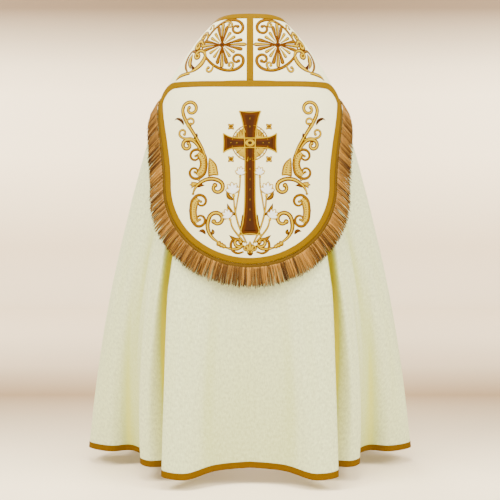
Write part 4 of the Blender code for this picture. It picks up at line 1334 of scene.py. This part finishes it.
def hood_side():
    """Scrollwork down the left side of the hood."""
    # The tall stem with its volute, and what springs from it.
    made = leafed(smooth((213, 366), (222, 351), (243, 346), (247, 351)), 7, DARK, DARK, 0.4)
    made += volute([(197, 373), (203, 362)], (189, 356), -300, 0.45, 5, GOLD, 0.9, 0.8, 4.5)
    made += leafed(smooth((179, 412), (170, 402), (169, 390)), 7, DARK, DARK, 0.35)
    made += volute(
        [(172, 415), (190, 408), (208, 409), (222, 404)],
        (216, 391), -285, 0.5, 5.5, GOLD, 0.8, 0.8, 4,
    )
    made += volute(
        [(158, 447), (170, 427), (184, 415), (198, 413)],
        (201, 431), 335, 0.4, 9, GOLD, 0.5, 0.8, 5.5,
    )
    made += volute(
        [(139, 474), (149, 446), (165, 417), (185, 385), (205, 354), (216, 330)],
        (190, 314), -430, 0.24, 8.5, GOLD, 0.5, 0.75, 5,
    )
    # Two C scrolls with a dotted body, back to back.
    made += c_scroll((173, 466), (175, 517), (156, 492), 138, 1)
    made += c_scroll((155, 611), (158, 668), (170, 640), 188, -1)
    # A dotted fan held inside the first scroll.
    spine = smooth((129, 474), (130, 500), (131, 530))
    rim = smooth((128, 472), (110, 491), (100, 525))
    foot = smooth((131, 531), (115, 525), (100, 527))
    made += [between(spine, rim, PALE), *(stem(line, 5.4, AMBER) for line in (spine, rim, foot))]
    # Leaves and the curl that springs between the scrolls.
    for tip in ((187, 548), (193, 558), (186, 569)):
        made += leafed(smooth((164, 553), (175, 555), tip), 9, GOLD, AMBER)
    made += stud(162, 541, 4.5, 2.6)
    made += leafed(smooth((167, 566), (156, 559), (143, 560)), 7, COPPER, DARK)
    made += volute(
        [(181, 585), (172, 566), (157, 551), (138, 541), (115, 539), (99, 544)],
        (104, 566), -305, 0.42, 9.5, GOLD, 0.3, 0.8, 6.5,
    )
    made += stud(180, 586, 4.0, 2.2)
    # The low curl, its leaves and the bud below.
    made += leafed(smooth((139, 714), (149, 703), (162, 705)), 8, COPPER, DARK)
    made += leafed(smooth((121, 716), (116, 706), (119, 697)), 8, AMBER, DARK)
    made += volute(
        [(98, 740), (118, 724), (131, 702), (132, 674), (122, 652)],
        (104, 667), -285, 0.5, 9.5, GOLD, 0.4, 0.8, 6.5,
    )
    for x, y, size in ((98, 742, 13), (90, 747, 12), (82, 751, 10)):
        made += leafed(smooth((x + 6, y - 5), (x, y), (x - 9, y + 5)), size, GOLD, AMBER)
    made += stud(72, 756, 3.4, 2.0)
    made += volute(
        [(69, 757), (52, 760), (36, 758), (22, 746)],
        (36, 738), -330, 0.42, 8, GOLD, 0.6, 0.8, 6,
    )
    made += volute(
        [(20, 768), (38, 773), (55, 764), (60, 746), (54, 732)],
        (43, 739), -160, 0.7, 6, AMBER, 0.6, 0.6,
    )
    return made


def c_scroll(near, far, heart, back, turn):
    """A C scroll: an outer line with a volute at both ends, and a dotted body inside it."""
    middle = (near[1] + far[1]) / 2
    side = -1 if back < near[0] else 1
    rise, fall = (near[0] + 6 * side, near[1] - 21), (far[0] + 6 * side, far[1] + 21)
    shoulder, hip = (back - 7 * side, near[1] - 6), (back - 7 * side, far[1] + 6)
    upper = curl([(back, middle), shoulder, rise], near, 350 * turn, 0.3)
    lower = curl([(back, middle), hip, fall], far, -350 * turn, 0.3)
    outer = np.concatenate([upper[::-1], lower[1:]])
    inner = smooth((near[0] + 9 * side, near[1] + 1), heart, (far[0] + 9 * side, far[1] - 1))
    ends = (near[0] + 4 * side, near[1] - 17), (far[0] + 4 * side, far[1] + 17)
    spine = smooth(ends[0], shoulder, (back, middle), hip, ends[1])
    made = [between(inner, spine, PALE), stem(inner, 6.0, AMBER, 0.7, 0.7)]
    made += corded(outer, 7.0, AMBER, 0.5, 0.5)
    for x, y in (near, far):
        made += stud(x, y, 4.4, 2.4, 1.2)
    return made


def hood_foot():
    """The palmette at the foot of the hood, on its centre line."""
    made = []
    for side in (-1, 1):
        root, heart = [(3 * side, 772), (10 * side, 763)], (13 * side, 756)
        made += volute(root, heart, -230 * side, 0.5, 5.6, GOLD, 0.9, 0.8, 3.5)
        made += leafed(smooth((2 * side, 768), (7 * side, 757), (10 * side, 743)), 9.4, GOLD, AMBER)
    made += leafed(smooth((0, 770), (0, 753), (0, 734)), 11.2, GOLD, AMBER)
    made += leafed(smooth((-10, 772), (0, 774), (10, 772)), 10, COPPER, DARK)
    return made


def flared_bar(start, end, waist, flare, tone, height=0.8, columns=13):
    """A wide satin bar that flares in curves at both ends."""
    line = smooth(start, end, step=6.0)
    share = np.abs(np.linspace(-1, 1, len(line)))
    return Stroke(line, mix(waist, flare, share**4.5) * MM, height * MM, tone, columns)


def bar_edges(bar, width, tone):
    """Cords laid round a bar."""
    run = np.gradient(bar.line, axis=0)
    side = np.stack([-run[:, 1], run[:, 0]], -1) / np.linalg.norm(run, axis=1)[:, None]
    one, other = (bar.line + side * bar.half_width[:, None] * k for k in (-1, 1))
    inwards = (bar.line[len(bar.line) // 2] - bar.line[[0, -1]]) * 0.02
    made = [stem(one, width, tone, 0.9, 0.9, 1.7), stem(other, width, tone, 0.9, 0.9, 1.7)]
    for end, shift in ((0, inwards[0]), (-1, inwards[1])):
        rim = np.array([one[end], (one[end] + other[end]) / 2 + shift, other[end]]) / MM
        made.append(stem(smooth(*rim), width, tone, 0.9, 0.9, 1.7))
    return made


def lily(x, y, heading, size):
    """A white lily blossom with gold stamens, opening along its heading."""
    made = []
    petals = (-52, 0.82, -60), (52, 0.82, 60), (-24, 1.0, -26), (24, 1.0, 26), (0, 1.08, 0)
    for turn, reach, bend in petals:
        line = flow(x, y, heading + turn * 0.55, (size * reach, bend, 1.6), step=2.5)
        made += leafed(line, size * 0.34, WHITE, PALE, 0.6)
    for turn in (-14, 0, 14):
        line = flow(x, y, heading + turn, (size * 0.6, turn, 1.0))
        made.append(stem(line, 1.6, AMBER, 0.8, 1.0, 2.4))
    made.append(disc(*polar(x, y, heading, -2), size * 0.13, GOLD, 1.6))
    return made


def polar(x, y, degrees, reach):
    """The place at this reach from x, y, in a direction."""
    angle = math.radians(degrees)
    return x + reach * math.cos(angle), y + reach * math.sin(angle)


def centre_device():
    """The device in the middle of the hood: a cross over a rayed disc, among lilies."""
    made = [disc(*CROSS_MIDDLE, 52, PALE, 0.35, 17)]
    for k in range(24):
        heading = k * 15 + 7.5
        length, tone = (24, GOLD) if k % 2 else (19, AMBER)
        made.append(rod(*polar(*CROSS_MIDDLE, heading, 36), heading, length, 4.2, tone, 0.5))
    ring = [polar(*CROSS_MIDDLE, heading, 57) for heading in range(0, 361, 15)]
    for first in (0, 12):
        made.append(stem(smooth(*ring[first : first + 13]), 3.6, AMBER, 1.0, 1.0, 0.9))
    upright = flared_bar((0, 322), (0, 716), 16, 34, BROWN)
    beam = flared_bar((-84, CROSS_HEIGHT), (84, CROSS_HEIGHT), 15, 31, BROWN)
    inner = flared_bar((0, 334), (0, 704), 8.5, 22, DARK, 1.15, 9)
    inner_beam = flared_bar((-72, CROSS_HEIGHT), (72, CROSS_HEIGHT), 8, 19, DARK, 1.15, 9)
    made += [upright, beam, inner, inner_beam]
    made += bar_edges(upright, 4.2, GOLD) + bar_edges(beam, 4.2, GOLD)
    for spot in ((19, COPPER, 1.5, 9), (15, GOLD, 1.9, 9), (7, DARK, 2.4)):
        made.append(disc(*CROSS_MIDDLE, *spot))
    for heading in range(0, 360, 45):
        made.append(disc(*polar(*CROSS_MIDDLE, heading, 11), 2.2, PALE, 2.5))
    for y in (346, 372, 476, 508, 540, 572, 604, 636, 668):
        made += leafed(smooth((0, y - 9), (0, y), (0, y + 9)), 6.5, GOLD, AMBER)
    for x in (-60, -42, 42, 60):
        made += leafed(smooth(*((x + k, CROSS_HEIGHT) for k in (-6, 0, 6))), 6.5, GOLD, AMBER)
    return made


def centre_side():
    """The lilies at the left of the cross."""
    made = []
    for points, width in (
        (((10, 742), (30, 700), (47, 640), (52, 590)), 4.2),
        (((16, 740), (38, 716), (56, 690), (62, 668)), 4.2),
        (((46, 650), (40, 610), (32, 560), (31, 530)), 3.6),
    ):
        made += corded(smooth(*points), width, GOLD, 0.8, 0.7)
    for place in ((52, 590, -82, 40), (63, 666, -62, 34), (31, 530, -96, 30)):
        made += lily(*place)
    for points in (
        ((45, 655), (62, 640), (72, 616)), ((30, 700), (22, 676), (24, 650)),
        ((24, 728), (46, 730), (66, 716)), ((50, 606), (66, 596), (74, 574)),
    ):
        made += leafed(smooth(*points), 9, AMBER, DARK)
    for x, y in ((60, 372), (60, 476)):
        for k in range(4):
            made += leafed(flow(x, y, k * 90 + 45, (13, 0, 1)), 6.5, GOLD, AMBER)
        made.append(disc(x, y, 2.6, COPPER, 1.8))
    return made


def rosette(x, y, across=1.0):
    """Long copper rods in four bundles, short gold ones between, and a dark heart."""
    made = []
    for quarter in range(4):
        long = 78 if quarter % 2 else 84 * across
        for turn, reach in ((-14, 0.86), (14, 0.86), (0, 1.0)):
            heading, length = quarter * 90 + turn, (long - 7) * reach
            made.append(rod(*polar(x, y, heading, 7), heading, length, 16.8, COPPER, 0.2))
            tone = AMBER if turn else GOLD
            gold = rod(*polar(x, y, heading, 27), heading, length - 22.5, 10.0, tone, 0.15)
            made.append(gold._replace(height=1.25 * MM))
        for turn in (33, 57):
            heading, length = quarter * 90 + turn, long * 0.60
            root = polar(x, y, heading, 12)
            made.append(rod(*root, heading, length - 8, 13.8, COPPER, 0.22))
            gold = rod(*root, heading, length - 10, 8.6, GOLD, 0.22)
            made.append(gold._replace(height=1.2 * MM))
    made += [disc(x, y, 10, COPPER, 1.5), disc(x, y, 6, DARK, 1.9)]
    return made


def orphrey_unit():
    """One repeat of the orphrey: a rosette in an ogee of scrolls, with a leaf beyond."""
    made = rosette(92, 98, 0.96)
    upper = [(166, 107), (143, 62), (117, 33), (86, 16), (58, 11), (33, 20)]
    lower = [(166, 107), (142, 146), (108, 174), (72, 185), (42, 180), (24, 163)]
    for row in (
        (upper, (44, 42), -365, 0.3, 7.5, AMBER, 0.6, 0.7, 5),
        (lower, (42, 149), 350, 0.3, 7.5, AMBER, 0.6, 0.7, 5),
        ([(84, 16), (68, 18), (60, 26)], (67, 30), -250, 0.6, 5.6, GOLD, 0.6, 0.9, 4),
        ([(78, 184), (62, 181), (56, 172)], (63, 166), 250, 0.6, 5.6, GOLD, 0.6, 0.9, 4),
        ([(120, 168), (127, 184)], (136, 180), -230, 0.6, 5.6, GOLD, 0.6, 0.9, 4.5),
        ([(130, 45), (132, 30)], (142, 31), 230, 0.6, 5.6, GOLD, 0.6, 0.9, 4.5),
    ):
        made += volute(*row)
    # The flourish beyond the ogee.
    made += volute(
        [(150, 130), (160, 117), (174, 114), (188, 122)],
        (181, 131), 300, 0.4, 10, GOLD, 0.6, 0.8, 6,
    )
    body = smooth((150, 118), (147, 140), (160, 165), (184, 182), (214, 190))
    lift = smooth((152, 116), (158, 140), (172, 160), (192, 176), (214, 190))
    made += [between(body, lift, GOLD, 1.1, 7), stem(body, 4.6, COPPER), stem(lift, 4.6, COPPER)]
    made += leafed(smooth((184, 181), (196, 172), (202, 158)), 8.8, DARK, DARK, 0.35)
    made += corded(smooth((206, 189), (230, 193), (254, 200), (268, 210)), 8.8, GOLD, 0.9, 0.3)
    for row in (
        ([(160, 96), (176, 80), (190, 84)], (187, 96), 290, 0.5, 13.8, GOLD, 0.4, 0.8, 5),
        ([(146, 70), (158, 52), (172, 54)], (170, 64), 270, 0.5, 11.2, GOLD, 0.4, 0.8, 4.5),
    ):
        made += volute(*row)
    outer = smooth((192, 118), (212, 112), (226, 124), (232, 146), (226, 172), (214, 188))
    made += corded(outer, 8.8, AMBER, 0.7, 0.3)
    made += leafed(smooth((206, 122), (212, 140), (210, 160), (204, 176)), 13.8, GOLD, COPPER)
    return made


def embroider(name, thread, laid):
    """One embroidery, from rows of what a stroke of needlework takes."""
    work = Needlework()
    for row in laid:
        work.stroke(*row)
    piece = work.finish(name, thread)
    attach(piece, "root")


def front_places(start, side):
    """Where an ornament's millimetres fall on the band, for a unit that starts there."""
    def placed(u, v):
        along = np.interp(start + u, BAND_LENGTHS, BAND_ALONG)
        return side * along, (v - UNIT_MIDDLE + BAND_WIDTH / 2) / band_width(along)

    return placed


def make_embroidery(settings):
    tones = (WHITE, PALE, GOLD, AMBER, COPPER, DARK)
    names = ("white", "pale", "gold", "amber", "copper", "dark")
    colours = [tuple(getattr(settings, name)) for name in names]
    thread = silk_thread("silk_thread", list(zip(tones, colours)))
    relief = settings.relief
    laid = [
        (HOOD_FACE, stroke, relief, flip)
        for stroke in (*hood_side(), *centre_side())
        for flip in (False, True)
    ]
    laid += [(HOOD_FACE, stroke, relief, False) for stroke in (*hood_foot(), *centre_device())]
    embroider("hood_embroidery", thread, laid)

    unit = orphrey_unit()
    last = BAND_LENGTHS[-1] - UNIT_LENGTH - UNIT_MARGIN
    starts = np.arange(settings.first_repeat, last, settings.repeat)
    for side, name in ((1, "left"), (-1, "right")):
        laid = [(BACK, stroke, relief, side < 0) for stroke in unit]
        for start in starts:
            laid += [(BAND, stroke, relief, False, front_places(start, side)) for stroke in unit]
        embroider(f"orphrey_embroidery_{name}", thread, laid)

    def morse_place(u, v):
        return u, v + (MORSE_TOP + MORSE_BOTTOM) / 2

    laid = []
    for stroke in rosette(0, 0):
        small = stroke._replace(
            line=stroke.line * MORSE_SCALE,
            half_width=stroke.half_width * MORSE_WIDTH_SCALE,
            height=stroke.height * MORSE_HEIGHT_SCALE,
        )
        laid.append((MORSE_FACE, small, relief, False, morse_place))
    embroider("morse_embroidery", thread, laid)


def colour(name, default, description):
    return FloatVectorProperty(
        name=name, description=description, default=default, subtype="COLOR", size=3, min=0, max=1
    )


def metres(name, default, description):
    return FloatProperty(name=name, description=description, default=default, subtype="DISTANCE")


class COPE_PG_thread(bpy.types.PropertyGroup):
    """Colours and sizes of the embroidery."""

    relief: FloatProperty(name="Relief", description="Height of the padding", default=1.0, min=0.2)
    repeat: metres("Repeat", 0.272, "Length of one repeat along the orphreys")
    first_repeat: metres("First repeat", 0.33, "Where the first front repeat begins")
    white: colour("White", (0.90, 0.93, 0.92), "White silk")
    pale: colour("Pale gold", (0.52, 0.36, 0.02), "Pale gold silk")
    gold: colour("Gold", (0.30, 0.180, 0.0), "Gold silk")
    amber: colour("Amber", (0.19, 0.086, 0.0), "Amber silk")
    copper: colour("Copper", (0.10, 0.027, 0.001), "Copper brown silk")
    dark: colour("Dark", (0.032, 0.008, 0.003), "Dark brown silk")


# ---------------------------------------------------------------- what a user may change
class COPE_PG_cloth(bpy.types.PropertyGroup):
    """Colours of the cloths, and the shade painted into the damask's folds."""

    mantle_colour: colour("Mantle", (0.63, 0.69, 0.41), "Colour of the damask")
    # Painted shade: a colour for the damask's folds, also laid between its threads, a deeper one
    # for the recess beside the back panel, and how strongly the folds take it.
    weave_and_fold_shade: colour("Folds", (0.43, 0.49, 0.05), "Tint of the damask deep in the folds")
    recess_shade_colour: colour(
        "Deep folds", (0.64, 0.58, 0.02), "Tint beside the back, where they are deepest"
    )
    fold_shade_strength: FloatProperty(
        name="Fold tint", description="How strong that tint is", default=0.7, min=0, max=1
    )
    crease_seed: IntProperty(name="Creases", description="Start of their variation", default=3)
    silk_colour: colour("Silk", (0.85, 0.82, 0.50), "Colour of the hood and the orphreys")
    silk_shade: colour("Silk shade", (0.74, 0.70, 0.46), "Colour between its threads")


class COPE_PG_braid(bpy.types.PropertyGroup):
    """Sizes and colours of the braids."""

    thickness: metres("Thickness", 0.0010, "Thickness of the braid")
    ribs: IntProperty(name="Ribs", description="Ribs along the braid", default=4, min=2, max=9)
    chevron: metres("Chevron", 0.0034, "Length of one chevron")
    morse_width: metres("Morse braid", 0.010, "Width of the braid round the morse")
    colour: colour("Gold", (0.20, 0.110, 0.0), "Colour of the raised threads")
    shade: colour("Shade", (0.15, 0.076, 0.0), "Colour between them")
    hem_colour: colour("Hem gold", (0.176, 0.088, 0.003), "Colour of the hem braid")
    hem_shade: colour("Hem shade", (0.11, 0.048, 0.0), "Colour between its threads")


class COPE_PG_fringe(bpy.types.PropertyGroup):
    """Sizes and colours of the bullion fringe."""

    strands: IntProperty(
        name="Strands", description="Strands on each side and layer", default=400, min=20, max=480
    )
    stations: IntProperty(
        name="Bends", description="Rings along each strand", default=8, min=4, max=24
    )
    length: metres("Length", 0.067, "Length of the strands")
    thickness: metres("Thickness", 0.0021, "Thickness of a strand")
    seed: IntProperty(name="Seed", description="Start of the strands' variation", default=7)
    colour: colour("Bullion", (0.35, 0.172, 0.032), "Colour of the twisted cord")
    shade: colour("Shade", (0.075, 0.032, 0.010), "Colour between its turns")
    heading: colour("Heading", (0.15, 0.088, 0.006), "Colour of the woven heading")


class COPE_PG_stage(bpy.types.PropertyGroup):
    """The studio round the cope."""

    floor_drop: metres("Floor", -1.505, "Height of the floor")
    wall: metres("Wall", 4.6, "How far behind the cope the floor turns up")
    pale: colour("Pale", (1.0, 0.855, 0.63), "Colour of the floor and of the wall")
    # Colours of the painted shade on the backdrop: its darker band and the top of its wall.
    line: colour("Line", (0.28, 0.185, 0.105), "Colour where the floor turns up")
    top: colour("Top", (0.22, 0.155, 0.10), "Colour at the top of the wall")
    light: FloatProperty(name="Light", description="Strength of the lamps", default=2.7, min=0)
    air: FloatProperty(name="Air", description="Strength of the even light", default=0.8, min=0)


# ---------------------------------------------------------------- operators
class COPE_OT_mantle(bpy.types.Operator):
    """Lay the damask over the three mantle panels"""

    bl_idname = "cope.mantle"
    bl_label = "Mantle"

    def execute(self, context):
        make_mantle(context.scene.cope_cloth)
        return {"FINISHED"}


class COPE_OT_orphreys(bpy.types.Operator):
    """Lay the brocade over the two orphrey bands"""

    bl_idname = "cope.orphreys"
    bl_label = "Orphreys"

    def execute(self, context):
        make_orphreys(context.scene.cope_cloth)
        return {"FINISHED"}


class COPE_OT_hood(bpy.types.Operator):
    """Hang the brocade hood at the back"""

    bl_idname = "cope.hood"
    bl_label = "Hood"

    def execute(self, context):
        make_hood()
        return {"FINISHED"}


class COPE_OT_braids(bpy.types.Operator):
    """Sew gold braid along every edge and seam"""

    bl_idname = "cope.braids"
    bl_label = "Braids"

    def execute(self, context):
        make_braids(context.scene.cope_braid)
        return {"FINISHED"}


class COPE_OT_fringe(bpy.types.Operator):
    """Hang the bullion fringe on the hood"""

    bl_idname = "cope.fringe"
    bl_label = "Fringe"

    def execute(self, context):
        make_fringe(context.scene.cope_fringe)
        return {"FINISHED"}


class COPE_OT_morse(bpy.types.Operator):
    """Close the bands at the chest with the morse"""

    bl_idname = "cope.morse"
    bl_label = "Morse"

    def execute(self, context):
        make_morse(context.scene.cope_braid)
        return {"FINISHED"}


class COPE_OT_embroidery(bpy.types.Operator):
    """Embroider the hood, the orphreys and the morse"""

    bl_idname = "cope.embroidery"
    bl_label = "Embroidery"

    def execute(self, context):
        make_embroidery(context.scene.cope_thread)
        return {"FINISHED"}


class COPE_OT_stage(bpy.types.Operator):
    """Set up the floor, the lights and the camera"""

    bl_idname = "cope.stage"
    bl_label = "Stage"

    def execute(self, context):
        make_stage(context.scene.cope_stage)
        return {"FINISHED"}


class COPE_PT_panel(bpy.types.Panel):
    """The cope's sizes, colours and steps"""

    bl_idname = "COPE_PT_panel"
    bl_label = "Cope vestment"
    bl_space_type = "VIEW_3D"
    bl_region_type = "UI"
    bl_category = "Cope"

    def draw(self, context):
        for name in SETTINGS:
            box = self.layout.box()
            group = getattr(context.scene, name)
            for key in group.bl_rna.properties.keys():
                if key not in ("rna_type", "name"):
                    box.prop(group, key)
        for operator in OPERATORS:
            self.layout.operator(operator.bl_idname)


SETTINGS = {
    "cope_cloth": COPE_PG_cloth,
    "cope_braid": COPE_PG_braid,
    "cope_fringe": COPE_PG_fringe,
    "cope_thread": COPE_PG_thread,
    "cope_stage": COPE_PG_stage,
}
OPERATORS = (
    COPE_OT_mantle,
    COPE_OT_orphreys,
    COPE_OT_hood,
    COPE_OT_braids,
    COPE_OT_fringe,
    COPE_OT_morse,
    COPE_OT_embroidery,
    COPE_OT_stage,
)


def register():
    for made in (*SETTINGS.values(), *OPERATORS, COPE_PT_panel):
        bpy.utils.register_class(made)
    for name, group in SETTINGS.items():
        setattr(bpy.types.Scene, name, PointerProperty(type=group))


def unregister():
    for name in SETTINGS:
        delattr(bpy.types.Scene, name)
    for made in (COPE_PT_panel, *OPERATORS[::-1], *SETTINGS.values()):
        bpy.utils.unregister_class(made)


def main():
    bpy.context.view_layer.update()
    register()
    bpy.ops.cope.mantle()
    bpy.ops.cope.orphreys()
    bpy.ops.cope.hood()
    bpy.ops.cope.braids()
    bpy.ops.cope.fringe()
    bpy.ops.cope.morse()
    bpy.ops.cope.embroidery()
    bpy.ops.cope.stage()


if __name__ == "__main__":
    main()
